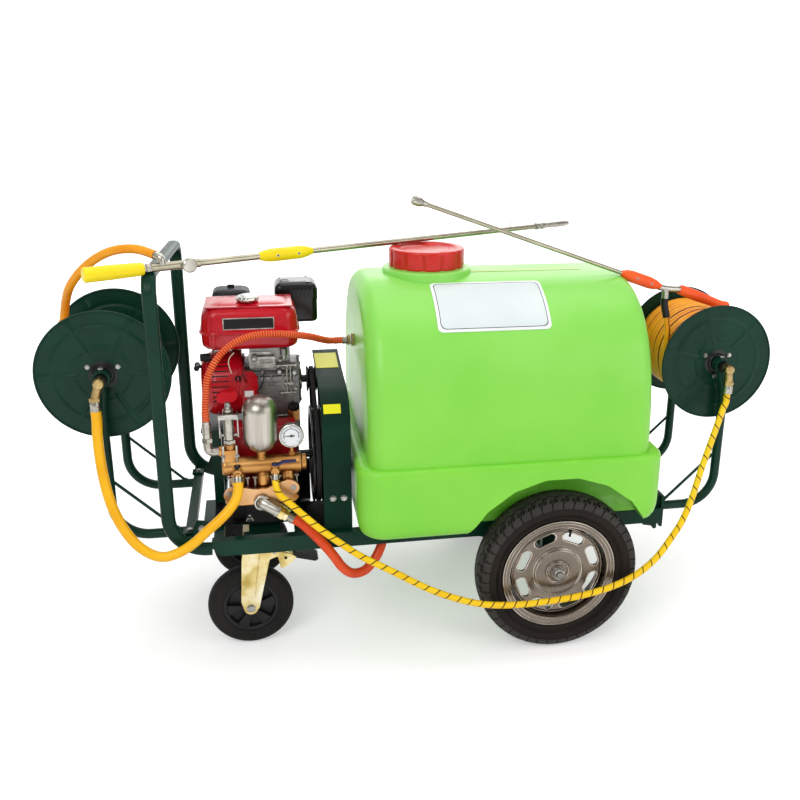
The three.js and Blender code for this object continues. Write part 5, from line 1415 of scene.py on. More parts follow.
def recoil():
    p = Piece("recoil_housing", "root", RED, BLACK, BOLT)
    flat = -472.3
    r = 85.9
    face = -577 - flat
    prof = [(0, face + 9), (22, face + 9), (26, face + 1), (30, face), (58, face), (62, face + 2),
            (70, face + 7),
            (78, face + 14), (84, face + 26), (r, face + 36), (r, -10), (85.2, -8), (85.2, 0), (0, 0)]
    p.lathe(soften(prof, 3, 4, least=0.15), "x", (flat, *CRANK), 96, 0)
    # louvres: slots round the rim and two rings of holes in the face, drawn as black patches that stand for
    # the dark fan and paint the shade inside the openings
    for i in range(40):
        a = TAU * i / 40
        if 3.6 < a < 5.6:
            continue
        m = turned_at((flat, *CRANK), a, "X")
        p.box((-76, -34), (83.6, 86.4), (-1.5, 1.5), 1, 0.6, m)
    for ring, n, size in ((40, 16, 3.2), (50, 20, 3.2)):
        for i in range(n):
            a = TAU * i / n + ring * 0.01
            m = turned_at((flat, *CRANK), a, "X")
            p.box((face - 0.05, face + 1.5), (ring - size, ring + size), (-1.8, 1.8), 1, 0.4, m)
    for i in range(3):
        a = TAU * i / 3 + 0.6
        y, z = CRANK[0] + 78 * math.cos(a), CRANK[1] + 78 * math.sin(a)
        p.bolt((flat - 84, y, z), "x", 3.6, 2.6, 2, way=-1)
    p.done(["recoil_cover"], 0.8)
    # air shroud between the cover and the cylinder, with its bare plates
    q = Piece("engine_shroud", "root", RED, WHITE, BLACK, BOLT, plastic("red_cap", "dd1222", "f02434"),
              plastic("cream_lead", "d9cdb4", "e9e0cb"))
    q.plate(soften([(-44, 600), (-44, 692), (-30, 707), (20, 716), (98, 716), (118, 690), (120, 600)], 8,
                   4, True),
            "yz", -474.5, -466, 0, 1.4)
    q.plate(soften([(-471, 612), (-438, 612), (-434, 640), (-434, 690), (-446, 704), (-471, 704)], 5, 3,
                   True),
            "xz", -46.2, -44.2, 0, 0.7)
    q.plate([(-468, 636), (-446, 636), (-446, 652), (-468, 652)], "xz", -46.8, -46.1, 1, 0.2)
    q.plate([(-468, 616), (-446, 616), (-446, 628), (-468, 628)], "xz", -46.8, -46.1, 2, 0.2)
    # soft red lever cap and a pale lead beside the cover
    q.plate(soften([(-538, 628), (-539, 646), (-524, 656), (-500, 653), (-488, 660), (-486, 640),
                    (-497, 628),
                    (-518, 625)], 6, 4, True), "xz", -59, -46.5, 4, 5)
    q.sweep(catmull([(-489, -49, 756), (-499, -51, 746), (-504, -52, 734), (-503, -52, 722),
                     (-498, -50, 702)], 3),
            circle(1.5, 8), 5)
    # mouth of the rope guide
    q.lathe(soften([(0, -576), (9, -576), (10.5, -573), (10.5, -550), (0, -550)], 1.5), "x", (0, -8, 735),
            28, 2)
    q.done((), 0.8)
    g = Piece("starter_handle", "starter_grip", BLACK)
    cx = -585.2
    prof = soften([(0, -21.8), (6, -21.8), (7.4, -18), (6.4, -8), (6.2, 0), (6.4, 8), (7.4, 18), (6, 21.8),
                   (0, 21.8)], 1.5, 3)
    g.lathe(prof, "y", (cx, -10, 712), 32)
    g.disc(3.6, -9, -7.4, "z", (cx, -10, 712), 16, 0)
    g.disc(4.6, -583, -573.5, "x", (0, -10, 712), 20, 0)
    g.done(["recoil_grip"])


def fuel():
    p = Piece("fuel_shell", "root", RED, BLACK, BOLT)
    z0, z1 = 765, 882
    levels = [(z0, 26), (z0 + 1.5, 20), (z0 + 5, 12), (z0 + 10, 7.5), (z0 + 18, 5.5), (z0 + 41, 4.6),
              (z0 + 43.2, 3.4), (z0 + 43.8, 0.6), (z0 + 44.6, 0), (z0 + 47, 0), (z0 + 47.8, 0.6),
              (z0 + 48.4, 3.4), (z0 + 51, 4.6), (z0 + 80, 6.4), (z0 + 92, 8.6), (z0 + 101, 13),
              (z0 + 108, 20),
              (z0 + 112.5, 30), (z1 - 1.6, 42), (z1 - 0.4, 52), (z1, 60)]
    moulded(p, (-572, -322), (-76, 86), 38, levels, 0, 9)
    # shallow panel on the front for its plate, with a thin rim, left bare
    p.box((-512, -386), (-71.4, -69), (z0 + 56, z0 + 86), 2, 0.8)
    p.box((-509.5, -388.5), (-72, -69.5), (z0 + 58.5, z0 + 83.5), 1, 0.5)
    p.box((-556, -340), (-60, 70), (z1 - 8, z1 - 5), 0, 1)
    p.done(["fuel_tank"], 0.7)
    q = Piece("fuel_lid", "fuel_filler", CHROME)

    def lobes(r, a, t):
        return r - (1.6 * (0.5 - 0.5 * math.cos(t * 8)) if r > 25 else 0)

    prof = soften([(0, 0.2), (26, 0.2), (27.6, 3), (28.6, 5), (28.6, 9.5), (26.6, 13), (21, 14.4),
                   (18, 14.6),
                   (16, 16.8), (0, 16.8)], 1.6, 3)
    q.lathe(prof, "z", (-450, -20, z1 + 0.3), 96, radial=lobes)
    q.box((-453, -447), (-36, -4), (z1 + 15.5, z1 + 17.1), 0, 0.6)
    q.done(["fuel_cap"], 0.8, weighted=False)


def air_box():
    p = Piece("air_filter_box", "root", BLACK)
    moulded(p, (-544, -444), (96, 190), 20,
            [(786, 8), (788, 3), (792, 0.8), (797, 0), (836, 0), (837, 1.6), (840, 1.6), (841, 0), (862, 0),
             (871, 1.5), (877, 4.5), (881, 10), (883.4, 18), (884, 26)], 0, 7)
    for k in range(5):
        p.box((-530 + 18 * k, -521 + 18 * k), (94.9, 97), (796, 828), 0, 1.5)
    p.box((-500, -450.4), (104, 150), (738, 790), 0, 4)
    p.disc(9, 880, 885, "z", (-494, 143, 0), 24, 0)
    p.box((-503, -485), (140.5, 145.5), (883, 891.6), 0, 1.8)
    p.done(["air_cleaner"])


def silencer():
    p = Piece("muffler_box", "root", GLOSS_BLACK, BLACK_METAL, BOLT)
    levels = [(790, 14), (792, 5), (796, 1), (801, 0), (878, 0), (887, 1.5), (893, 5), (897.5, 11),
              (899.7, 20),
              (900, 30)]
    moulded(p, (-380, -267), (104, 206), 16, levels, 0, 7)
    for k in range(9):
        p.box((-368 + 10.6 * k, -362.5 + 10.6 * k), (103, 105.2), (858, 883), 1, 0.7)
        p.box((-268.2, -266.2), (116 + 9 * k, 120.5 + 9 * k), (852, 882), 1, 0.7)
    p.lathe(soften([(9, 0), (14, 0), (14, 3), (10, 3.8), (9, 3)], 0.8, 2, True), "z", (-352, 140, 897.4),
            32,
            1, True)
    p.box((-382.7, -359.2), (118, 156), (742, 792), 1, 3)
    for x, y in ((-292, 118), (-292, 192), (-366, 192)):
        p.bolt((x, y, 898), "z", 3.6, 1.2, 2, washer=False)
    p.done(["muffler"])


def stop_switch():
    lo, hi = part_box("engine_switch")
    lo, hi = lo / MM, hi / MM
    cx, cz = (lo.x + hi.x) / 2, (lo.z + hi.z) / 2
    p = Piece("stop_knob", "stop_switch", RED, BLACK)
    p.lathe(soften([(0, lo.y + 0.1), (6, lo.y + 0.1), (7.8, lo.y + 2), (7.8, hi.y - 2), (7, hi.y - 0.1),
                    (0, hi.y - 0.1)],
                   1), "y", (cx, 0, cz), 32, 1)
    p.box((cx - 1.6, cx + 1.6), (lo.y + 0.05, lo.y + 3), (cz - 6, cz + 6), 0, 0.5)
    p.done(["engine_switch"])


# ---------------------------------------------------------------- belt drive
def pulleys():
    for body, node, r, (y, z), start, seg in (
            ("engine_shaft", "engine_pulley", SMALL_PULLEY, CRANK, -328.7, 64),
            ("pump_shaft", "pump_pulley", BIG_PULLEY, PUMP_SHAFT, -344.7, 112)):
        p = Piece("turned_" + node, body, BLACK_METAL, STEEL)
        x0, x1 = PULLEY_X
        floor = r - 8
        rim_prof = [(r, x0), (r, x0 + 4.5), (floor, x0 + 7), (floor, x0 + 21), (r, x0 + 23.5),
                    (r, x0 + 26.5),
                    (floor, x0 + 29), (floor, x1 - 7), (r, x1 - 4.5), (r, x1)]
        if r > 60:
            prof = [(0, start), (10, start), (10, x0 + 8), (26, x0 + 8), (26, x0 + 20), (r - 22, x0 + 20),
                    (r - 20, x0)] + rim_prof + [(r - 20, x1), (r - 22, x1 - 20), (26, x1 - 20),
                                                (26, x1 - 8),
                                                (10, x1 - 8), (9.8, x1 - 4), (0, x1 - 4)]
        else:
            prof = [(0, start), (10, start), (10, x0)] + rim_prof + [(12, x1), (12, x1 - 2), (0, x1 - 2)]
        p.lathe(soften(prof, 0.8, 2, least=0.3), "x", (0, y, z), seg, 0)
        if r > 60:
            p.hexa(9, x1 - 4.2, x1 - 0.4, "x", (0, y, z), 1)
        p.done([node], 0.6)


def belts():
    dy, dz = CRANK[0] - PUMP_SHAFT[0], CRANK[1] - PUMP_SHAFT[1]
    dist = math.hypot(dy, dz)
    heading = math.atan2(dz, dy)
    for node, groove in (("drive_belt_inner", 0), ("drive_belt_outer", 1)):
        mid = PULLEY_X[0] + 8 + 22 * groove + 6
        big, small = BIG_PULLEY - 8 + 4.2, SMALL_PULLEY - 8 + 4.2
        lean = math.acos((big - small) / dist)
        line = arc(*PUMP_SHAFT, big, heading + lean, heading + TAU - lean, 90)
        line += arc(*CRANK, small, heading - lean, heading + lean, 30)
        path = even([v3((mid, a, b)) for a, b in line] + [v3((mid, *line[0]))], 4)[:-1]
        p = Piece("rubber_" + node, "root", BELT)
        p.sweep(path, soften([(3.0, 5.8), (-3.2, 4.4), (-3.2, -4.4), (3.0, -5.8)], 0.6, 2, True), loop=True,
                lift=Vector((0, line[0][0] - PUMP_SHAFT[0], line[0][1] - PUMP_SHAFT[1])))
        p.done([node], 0.7, weighted=False)


def guard_details():
    p = Piece("guard_fixings", "root", BOLT, STICKER)
    for x in (-262, -235):
        p.bolt((x, -235.2, 421), "y", 6.2, 4.2, 0, way=-1)
    # two bare stickers on the slopes of the guard
    for (ya, za), (yb, zb), x0, x1, lo, hi in (((-228, 634), (-207, 662), -279, -237, 9, 33),
                                               ((-20, 692), (120, 709), -282, -223, 12, 112)):
        turn = turned_at((0, ya, za), math.atan2(zb - za, yb - ya), "X")
        p.box((x0, x1), (lo, hi), (0.3, 1.0), 1, 0.2, turn)
    p.done()


# ---------------------------------------------------------------- pump
MAN_Y = -190
VESSEL_X, GAUGE_X, REGULATOR_X = -432, -358, -507
SUCTION_END = Vector((-361, -248, 379))
SUCTION_SLOPE = Vector((0.841, -0.192, -0.505))


def pump():
    p = Piece("pump_case", "root", CAST_RED, BOLT, BLACK)
    body = soften([(-150, 415), (-140, 405), (-60, 405), (-50, 415), (-50, 561), (-72, 585), (-128, 585),
                   (-150, 561)], 8, 4, True)
    p.plate(body, "yz", -515, -345, 0, 3)
    for x in (-509, -379):
        p.box((x, x + 28), (-146, -54), (DECK + 6.3, 407), 2, 2)
    for i in range(3):
        x = -490 + 60 * i
        p.lathe(soften([(0, -164.8), (16.8, -164.8), (16.8, -149)], 1), "y", (x, 0, 460), 32, 0)
        p.disc(21, -153, -149, "y", (x, 0, 460), 36, 0)
    for x in (-503, -430, -357):
        for z in (421, 552):
            p.bolt((x, -150, z), "y", 5, 3.6, 1, washer=False, way=-1)
    p.box((-505, -355), (-151.6, -149), (500, 540), 0, 1.5)
    # cover of the crankcase with its vent and sight glass
    p.lathe(soften([(0, 0), (30, 0), (30, -4), (0, -4)], 1.5), "x", (-514.5, *PUMP_SHAFT), 48, 0)
    p.disc(9, 584, 592, "z", (-470, -100, 0), 24, 2)
    p.done(["pump_crankcase"])
    # black tray and web between the pump and its pulley, and the mat under the pump, in the near-black
    # rubber: partly the dark parts there, partly painted shade under the pump
    q = Piece("pump_tray", "root", SHADE_BLACK, BOLT)
    q.box((-346, -225), (-222, -60), (DECK + 0.4, DECK + 2.4), 0, 0.5)
    q.box((-344.5, -309), (-44, -41), (DECK + 2, 452), 0, 1)
    q.box((-558, -347), (-176, -40), (DECK + 6.05, DECK + 7), 0, 0.4)
    q.bolt((-372, -160, DECK + 6.8), "z", 6, 4, 1, stud=9)
    q.done(())


def manifold():
    pale = metal("brass_plate", "bd8c5c", "dab083", 0.3, 0.46, 16)
    p = Piece("manifold_castings", "root", BRASS, BOLT, STEEL, ZINC, SEAL, pale)
    x0, x1, y = -528, -334, MAN_Y
    p.lathe(soften([(0, x0), (21, x0), (24.6, x0 + 4), (24.8, x0 + 12), (23, x0 + 22), (23, x1 - 22),
                    (24.8, x1 - 12), (24.6, x1 - 3), (21, x1), (0, x1)], 2, 3), "x", (0, y, 507), 48, 0)
    for i in range(3):
        cx = -490 + 60 * i
        p.lathe(soften([(0, 413), (17, 413), (19.4, 418), (19.4, 436), (16.5, 440), (16.5, 452), (19, 456),
                        (19, 478), (17, 486), (14, 493), (0, 493)], 2, 3), "z", (cx, y, 0), 40, 0)
        p.lathe(soften([(0, y), (14.6, y), (14.6, -174), (0, -174)], 1), "y", (cx, 0, 460), 32, 0)
        p.lathe(soften([(0, -176), (14.6, -176), (14.6, -165.2), (0, -165.2)], 1), "y", (cx, 0, 460), 32, 0)
        for s in (-1, 1):
            p.disc(3, 440, 478, "z", (cx + s * 21, y - 14, 0), 16, 1)
            p.hexa(5.2, 476, 482, "z", (cx + s * 21, y - 14, 0), 1)
    # flat suction body whose ears carry its bolts
    plan = soften([(x0 + 2, y - 8), (x0 + 14, y - 20), (x0 + 40, y - 22), (x1 - 50, y - 22),
                   (x1 - 24, y - 20),
                   (x1 - 10, y - 8), (x1 - 10, y + 8), (x1 - 24, y + 20), (x0 + 14, y + 20),
                   (x0 + 2, y + 8)],
                  7, 4, True)
    p.plate(plan, "xy", 410, 437, 0, 3)
    for cx in (x0 + 15, x1 - 24):
        p.bolt((cx, y - 10, 437.4), "z", 5.4, 4, 1)
    front = soften([(x0 + 3, 424), (x0 + 12, 436), (x0 + 30, 438), (x0 + 56, 431), (x1 - 66, 431),
                    (x1 - 34, 438),
                    (x1 - 20, 436), (x1 - 11, 424), (x1 - 20, 413), (x1 - 44, 411), (x1 - 60, 409.5),
                    (x0 + 44, 409.5), (x0 + 20, 412)], 5, 3, True)
    p.plate(front, "xz", y - 24.4, y - 20, 0, 1.2)
    wing = soften([(-529, 441), (-520, 457), (-497, 468), (-478, 460), (-453, 454), (-424, 454),
                   (-399, 465),
                   (-371, 475), (-355, 470), (-344, 458), (-344, 445), (-355, 435), (-371, 427),
                   (-380, 416),
                   (-503, 416), (-524, 431)], 7, 4, True)
    p.plate(wing, "xz", y - 33, y - 24.2, 5, 1.6)
    for cx, cz in ((-514, 446), (-358, 453)):
        p.disc(7.5, y - 34.2, y - 33, "y", (cx, 0, cz), 28, 1)
        p.disc(4.6, y - 36, y - 34, "y", (cx, 0, cz), 20, 1)
    # end cap with its collar, valve caps, seats of the vessel and the regulator
    p.lathe(soften([(0, x1 - 2), (19, x1 - 2), (20, x1), (20, x1 + 9), (18, x1 + 11.8), (12, x1 + 11.8),
                    (11, x1 + 9), (0, x1 + 9)], 0.8), "x", (0, y, 507), 36, 0)
    p.box((x0 + 3, x0 + 37), (y - 17, y + 17), (522, 553), 0, 3)
    p.hexa(14, 551, 566.6, "z", (REGULATOR_X, y, 0), 0)
    for s in (-1, 1):
        p.disc(3.6, 520, 566, "z", (-507 + s * 16, y - 14, 0), 14, 2)
        p.hexa(5.5, 536, 542, "z", (-507 + s * 16, y - 14, 0), 1)
    p.lathe(soften([(0, 522), (15, 522), (15, 528), (12.6, 530), (12.6, 536), (13.8, 537), (13.8, 543.6),
                    (0, 543.6)], 0.8), "z", (VESSEL_X, y, 0), 36, 0)
    p.hexa(7, 526, 537, "z", (GAUGE_X, y, 0), 0)
    p.disc(5.6, 522, 549.3, "z", (GAUGE_X, y, 0), 20, 0)
    # two outlet taps: valve body, gland, and the slanted outlet with its crimped sleeve
    for tx, r in ((TAP_X["left"], 13.0), (TAP_X["right"], 9.5)):
        p.lathe(soften([(0, -232), (9.5, -232), (11.8, -228), (11.8, -216), (10, -212), (11.6, -209),
                        (11.6, -196), (0, -196)], 1), "y", (tx, 0, 501), 36, 0)
        p.disc(5.8, 500, 511.5, "z", (tx, -223.5, 0), 24, 0)
        p.hexa(6.4, 510.5, 515.6, "z", (tx, -223.5, 0), 0)
        a, b = Vector((tx, -226.5, 498)), Vector((tx, -235, 481))
        d = (b - a).normalized()
        p.sweep([a, a + d * 6], circle(r * 0.8, 24), 0)
        m = [a + d * 5, a + d * 5.8, a + d * 11, a + d * 11.6, a + d * 15.6, b]
        k = [0.72, 0.98, 0.98, 0.9, 0.99, 0.99]
        for q0, q1, f0, f1 in zip(m, m[1:], k, k[1:]):
            p.sweep([q0, q1], circle(r * min(f0, f1), 28), 2)
    # cast steel elbow and union on the suction side
    before = SUCTION_END - 41 * SUCTION_SLOPE
    path = bent([(-436, y - 12, 420), (-436, y - 36, 420), tuple(before), tuple(SUCTION_END)], 16, 10)
    size = even(path, 1.5)
    total = run_length(size)
    p.sweep(size, circle(1, 36), 2, lambda s: 17.6 if s < total - 41 else 12.3)
    p.lathe(soften([(15, y - 44), (19.6, y - 43), (20.6, y - 40), (20.6, y - 34), (19, y - 32),
                    (15, y - 32)], 1.5, 3,
                   True), "y", (-436, 0, 420), 40, 2, True)
    for f, r, n, long in ((-6, 19.2, 32, 7), (2, 19, 6, 12), (15, 16.6, 6, 9), (25, 13.2, 32, 3),
                          (30, 13.2, 32, 3),
                          (35, 13.4, 32, 5)):
        a = before + SUCTION_SLOPE * f
        p.sweep([a, a + SUCTION_SLOPE * long], circle(r, n), 3 if n == 6 else 2)
    # return elbow with its hose tail
    path = bent([(x0 + 8, y, 546), (x0 - 32, y, 546), (x0 - 32, y, 627)], 15, 10)
    p.sweep(path, circle(10.4, 28), 2)
    p.hexa(11.4, x0 - 6, x0 + 5, "x", (0, y, 546), 0)
    for z, r, n in ((572, 11.6, 6), (590, 11.2, 32), (600, 10.6, 32), (612, 11.2, 32)):
        if n == 6:
            p.hexa(r, z, z + 12, "z", (x0 - 32, y, 0), 2)
        else:
            p.disc(r, z, z + 7, "z", (x0 - 32, y, 0), 28, 2, 0.6)
    p.done(["pump_manifold"])


def vessel():
    # its colour runs in long vertical bands from dark to pale: painted reflection streaks
    bottle_steel = metal("steel_painted_streaks", "77716a", "cfc9bf", 0.26, 0.4, 9, (26, 26, 0.5), 0.1, streak=(4, 4, 0.2))
    p = Piece("air_bottle", "root", bottle_steel)
    z0, z1, r = 544, 686, 41.9
    prof = [(0, z0), (14, z0), (14.5, z0 + 1)]
    for k in range(13):
        a = math.pi / 2 * k / 12
        prof.append((14.5 + (r - 14.5) * math.sin(a), z0 + 2 + 36 * (1 - math.cos(a))))
    prof.append((r, (z0 + z1) / 2 - 3))
    for k in range(17):
        a = math.pi / 2 * k / 16
        prof.append((r * math.cos(a) ** 0.9, z1 - 38 + 38 * math.sin(a)))
    p.lathe(prof, "z", (VESSEL_X, MAN_Y, 0), 88)
    p.lathe([(r - 0.2, 612), (r + 0.02, 612.6), (r - 0.2, 613.2)], "z", (VESSEL_X, MAN_Y, 0), 88)
    p.done(["air_vessel"], 1.0, weighted=False)


def gauge():
    z = 580.3
    at = (GAUGE_X, MAN_Y, z)
    p = Piece("gauge_case", "root", CHROME, DIAL, INK, BRASS)
    prof = soften([(0, -7.6), (27.2, -7.6), (27.4, -11.6), (29, -12), (30.9, -10.5), (30.9, -6), (29.4, -5),
                   (29.4, 9), (27, 13.4), (0, 13.8)], 0.8)
    p.lathe(prof, "y", at, 72, 0)
    p.disc(26.9, -8.2, -7.4, "y", at, 64, 1, 0.1)
    for i in range(41):
        a = math.radians(225 - 270 * i / 40)
        long = 5.0 if i % 10 == 0 else (3.6 if i % 5 == 0 else 2.2)
        w = 0.55 if i % 10 == 0 else 0.3
        m = turned_at(at, -a, "Y")
        p.box((24.5 - long, 24.5), (-8.35, -8.1), (-w, w), 2, 0, m)
    ring = [v3((at[0] + 25.2 * math.cos(t), MAN_Y - 8.2, z + 25.2 * math.sin(t)))
            for t in [math.radians(-45 + 270 * k / 60) for k in range(61)]]
    p.sweep(ring, circle(0.28, 6), 2)
    band = [v3((at[0] + 18.4 * math.cos(t), MAN_Y - 8.2, z + 18.4 * math.sin(t)))
            for t in [math.radians(-18 + 222 * k / 50) for k in range(51)]]
    p.sweep(band, circle(0.95, 6), 2)
    p.hexa(7.5, 549.5, 552.5, "z", (GAUGE_X, MAN_Y, 0), 3)
    p.done(["pressure_gauge"], 0.5, weighted=False)
    q = Piece("gauge_pointer", "needle", INK)
    q.plate(soften([(-358 - 21, z), (-358, z - 1.2), (-358 + 8, z - 1.6), (-358 + 8, z + 1.6),
                    (-358, z + 1.2)], 0.4, 2,
                   True), "xz", MAN_Y - 10.2, MAN_Y - 9.3, 0, 0.15)
    q.disc(3.1, MAN_Y - 10.7, MAN_Y - 8.4, "y", (-358, 0, z), 28, 0, 0.4)
    q.done(["gauge_needle"])


def regulator():
    x, y = REGULATOR_X, MAN_Y
    p = Piece("regulator_stack", "root", STEEL, BOLT)
    p.hexa(13.6, 567.4, 577.5, "z", (x, y, 0), 0)
    p.lathe(soften([(0, 577), (11, 577), (12.6, 579), (12.6, 640), (11.6, 642), (12.7, 644), (12.7, 655.6),
                    (0, 655.6)], 0.8), "z", (x, y, 0), 40, 0)
    for k in range(7):
        p.lathe([(12.5, 596 + 5 * k), (12.95, 597.5 + 5 * k), (12.5, 599 + 5 * k)], "z", (x, y, 0), 40, 0)
    p.lathe(soften([(0, 655), (7.6, 655), (7.6, 661), (6.2, 662), (6.2, 671.8), (0, 671.8)], 0.8), "z",
            (x, y, 0),
            28, 1)
    p.hexa(6.8, 663, 668, "z", (x, y, 0), 1)
    p.disc(3.9, x - 20, x + 20, "x", (0, y, 588), 20, 1)
    p.done(["pressure_regulator"])
    q = Piece("regulator_fork", "regulator_arm", BOLT)
    inner = 20.3
    for s in (-1, 1):
        lo, hi = sorted((x + s * inner, x + s * (inner + 2.9)))
        side_view = soften([(y - 6, 582), (y + 6, 582), (y + 6, 650), (y - 24, 650), (y - 24, 640),
                            (y - 6, 634)],
                           3, 3, True)
        q.plate([(a, min(b, 647.8)) for a, b in side_view], "yz", lo, hi, 0, 0.5)
    q.box((x - inner - 2.9, x + inner + 2.9), (y - 23.9, y - 18.1), (636.2, 647.8), 0, 0.8)
    q.done(["regulator_lever"])


def taps():
    for node, body, x, reach, turn, mat in (
            ("outlet_lever_left", "tap_left", TAP_X["left"], 34, -math.pi / 2, BLACK),
            ("outlet_lever_right", "tap_right", TAP_X["right"], 51, 0.0, plastic("blue_black", "1d1f45",
                                                                                 "2a2c5e", 0.3, 0.45))):
        m = turned_at((x, -223.5, 516), turn, "Z")
        p = Piece("lever_" + node, body, mat, BOLT)
        side_view = soften([(-5, 0.1), (12, 0.1), (20, 5), (reach, 7), (reach, 10.9), (18, 9.8), (10, 4.9),
                            (-5, 4.9)], 1.2, 3, True)
        p.plate(side_view, "xz", -4.9, 4.9, 0, 0.9, m)
        n = len(p.bm.verts)
        p.disc(7.8, 0.1, 4.9, "z", (0, 0, 0), 28, 0, 0.6)
        p.hexa(3.6, 4.6, 5.9, "z", (0, 0, 0), 1)
        p.move(n, m)
        p.done([node])


# ---------------------------------------------------------------- lances
def lance_frame(a, b):
    a, b = Vector(a), Vector(b)
    d = (b - a).normalized()
    side = d.cross(Vector((0, 0, 1))).normalized()
    top = side.cross(d)
    m = Matrix((side, d, top)).transposed().to_4x4()
    m.translation = a
    return m


def along(p, m, profile, seg=28, mi=0, radial=None):
    """A body turned about the lance's own line."""
    n = len(p.bm.verts)
    p.lathe(profile, "y", (0, 0, 0), seg, mi, radial=radial)
    p.move(n, m)


def grip_screws(p, m, places, head, socket):
    """Screws in both sides of a lance's middle grip, at these distances along it."""
    side = (m.to_3x3() @ Vector((1, 0, 0))).normalized()
    for s in places:
        for f in (-1, 1):
            c = m @ Vector((0, s, 0)) + side * (f * 15.2)
            p.sweep([c, c + side * (f * 0.7)], circle(head, 16), 2)
            p.sweep([c, c + side * (f * 0.9)], circle(socket, 12), 3)


HANDLE_REST = 991.5 + 17.17
LID_REST = TANK_TOP + 69.68
RISE = (LID_REST - HANDLE_REST) / 0.458


def left_lance():
    m = lance_frame((-788, -286, HANDLE_REST - 0.107 * RISE), (496, 299, HANDLE_REST + 0.893 * RISE))
    p = Piece("long_lance", "root", TUBE, YELLOW_GRIP, BOLT, BLACK, STEEL)
    grip = soften([(0, 0.2), (14, 0.2), (16.8, 3), (16.6, 60), (14.9, 118), (13.9, 130), (11.5, 132),
                   (0, 132)], 3, 4)

    def flutes(r, a, t):
        return r - (0.7 * max(0.0, math.cos(t * 10)) if 8 < a < 112 and r > 10 else 0)

    along(p, m, grip, 80, 1, flutes)
    along(p, m, soften([(0, 130), (9, 130), (9, 136), (11, 137), (11, 147), (9, 149), (0, 149)], 0.8), 6, 4)
    along(p, m, soften([(0, 148), (9.8, 148), (9.8, 262), (7.7, 263), (7.7, 412), (0, 412)], 0.6), 32, 0)
    along(p, m, soften([(0, 408), (7.8, 408), (9, 411), (13.5, 424), (15.8, 440), (15.8, 520), (13, 536),
                        (8.4, 550),
                        (7.7, 552), (0, 552)], 4, 4, least=0.1), 48, 1)
    along(p, m, soften([(0, 550), (7.4, 550), (7.1, 1280), (0, 1280)], 0.5), 32, 0)
    along(p, m, soften([(0, 1278), (9.8, 1281), (9.8, 1290), (8, 1291), (8, 1300), (9.8, 1302), (9, 1316),
                        (6.6, 1318),
                        (7.4, 1322), (8.4, 1350), (8.3, 1390), (6.6, 1405), (4.8, 1409.5), (0, 1409.5)],
                       0.8), 32, 4)
    # screws through the middle grip and a hanger clip on the tube
    grip_screws(p, m, (452, 508), 3.4, 1.9)
    c = m @ Vector((0, 1188, 0))
    p.sweep(bent([tuple(c + Vector((0, 0, 6.9))), tuple(c + Vector((0, 0, 15))),
                  tuple(c + Vector((3, 2, 20))),
                  tuple(c + Vector((7, 3, 19)))], 2, 5), circle(1.1, 10), 4)
    # ball valve behind the front hand, its round body and stub towards the reel
    n = len(p.bm.verts)
    p.lathe(soften([(0, 0.4), (14, 0.4), (16.8, 3), (16.8, 11), (14, 13.6), (0, 13.6)], 1), "x",
            (8, 232, 0), 40, 4)
    p.move(n, m)
    foot = Vector((-630, -214.2, HANDLE_REST + 4.33))
    knee = Vector((-630, -214.2, HANDLE_REST + 21.33))
    slope = Vector(INLET_SLOPE)
    p.sweep(bent([tuple(foot), tuple(knee), tuple(knee + 18 * slope)], 8, 6), circle(8.6, 24), 4)
    p.sweep([knee + 5 * slope, knee + 12 * slope], circle(9.0, 6), 4)
    p.done(["lance_left"], 0.7)


def right_lance():
    top = TANK_TOP
    a, b = (-47, -120, top + 197.74), (508, -92, top + 1.64)
    m = lance_frame(a, b)
    p = Piece("short_lance", "root", TUBE, ORANGE_GRIP, BOLT, BLACK, STEEL)
    along(p, m, soften([(0, 0.2), (9, 0.2), (9.6, 2), (11.8, 4), (11.8, 20), (10.4, 24), (7.6, 30),
                        (6.4, 39),
                        (5.4, 41), (0, 41)], 0.8), 36, 4)
    along(p, m, soften([(0, 38), (5.4, 38), (5.4, 600), (0, 600)], 0.4), 28, 0)
    along(p, m, soften([(0, 596), (6.2, 596), (8, 599), (13.4, 612), (15.8, 628), (15.8, 684), (13, 702),
                        (7.6, 718),
                        (6.8, 720), (0, 720)], 4, 4, least=0.1), 48, 1)
    along(p, m, soften([(0, 716), (6.8, 716), (6.8, 741), (0, 741)], 0.6), 28, 4)
    grip_screws(p, m, (640, 684), 3.2, 1.8)
    r = lance_frame((684, -81, top - 50.06), (846, -56, top - 111.76))
    along(p, r, soften([(0, 0), (7.8, 0), (7.8, 6), (0, 6)], 0.6), 28, 4)
    along(p, r, soften([(0, 4), (9, 4), (13.6, 8), (14.8, 60), (13, 110), (12.2, 150), (13, 157),
                        (14.7, 160),
                        (14.7, 171), (12, 172.2), (0, 172.2)], 3, 4, least=0.1), 48, 1)
    p.sweep(bent([(626, -86, top - 43.3), (660, -84, top - 49.06), (690, -80, top - 51.96)], 10, 6),
            circle(7.8, 24), 4)
    p.sweep([(646, -86, top - 48), (646, -86, top - 55)], circle(8.8, 6), 4)
    p.sweep([(646, -86, top - 54), (646, -86, top - 73.2)], circle(8.6, 24), 4)
    sleeve = catmull(ROUTES["lance_hose_right"])
    p.sweep(sleeve[:14], circle(9.7, 24), 3)
    p.done(["lance_right"], 0.7)


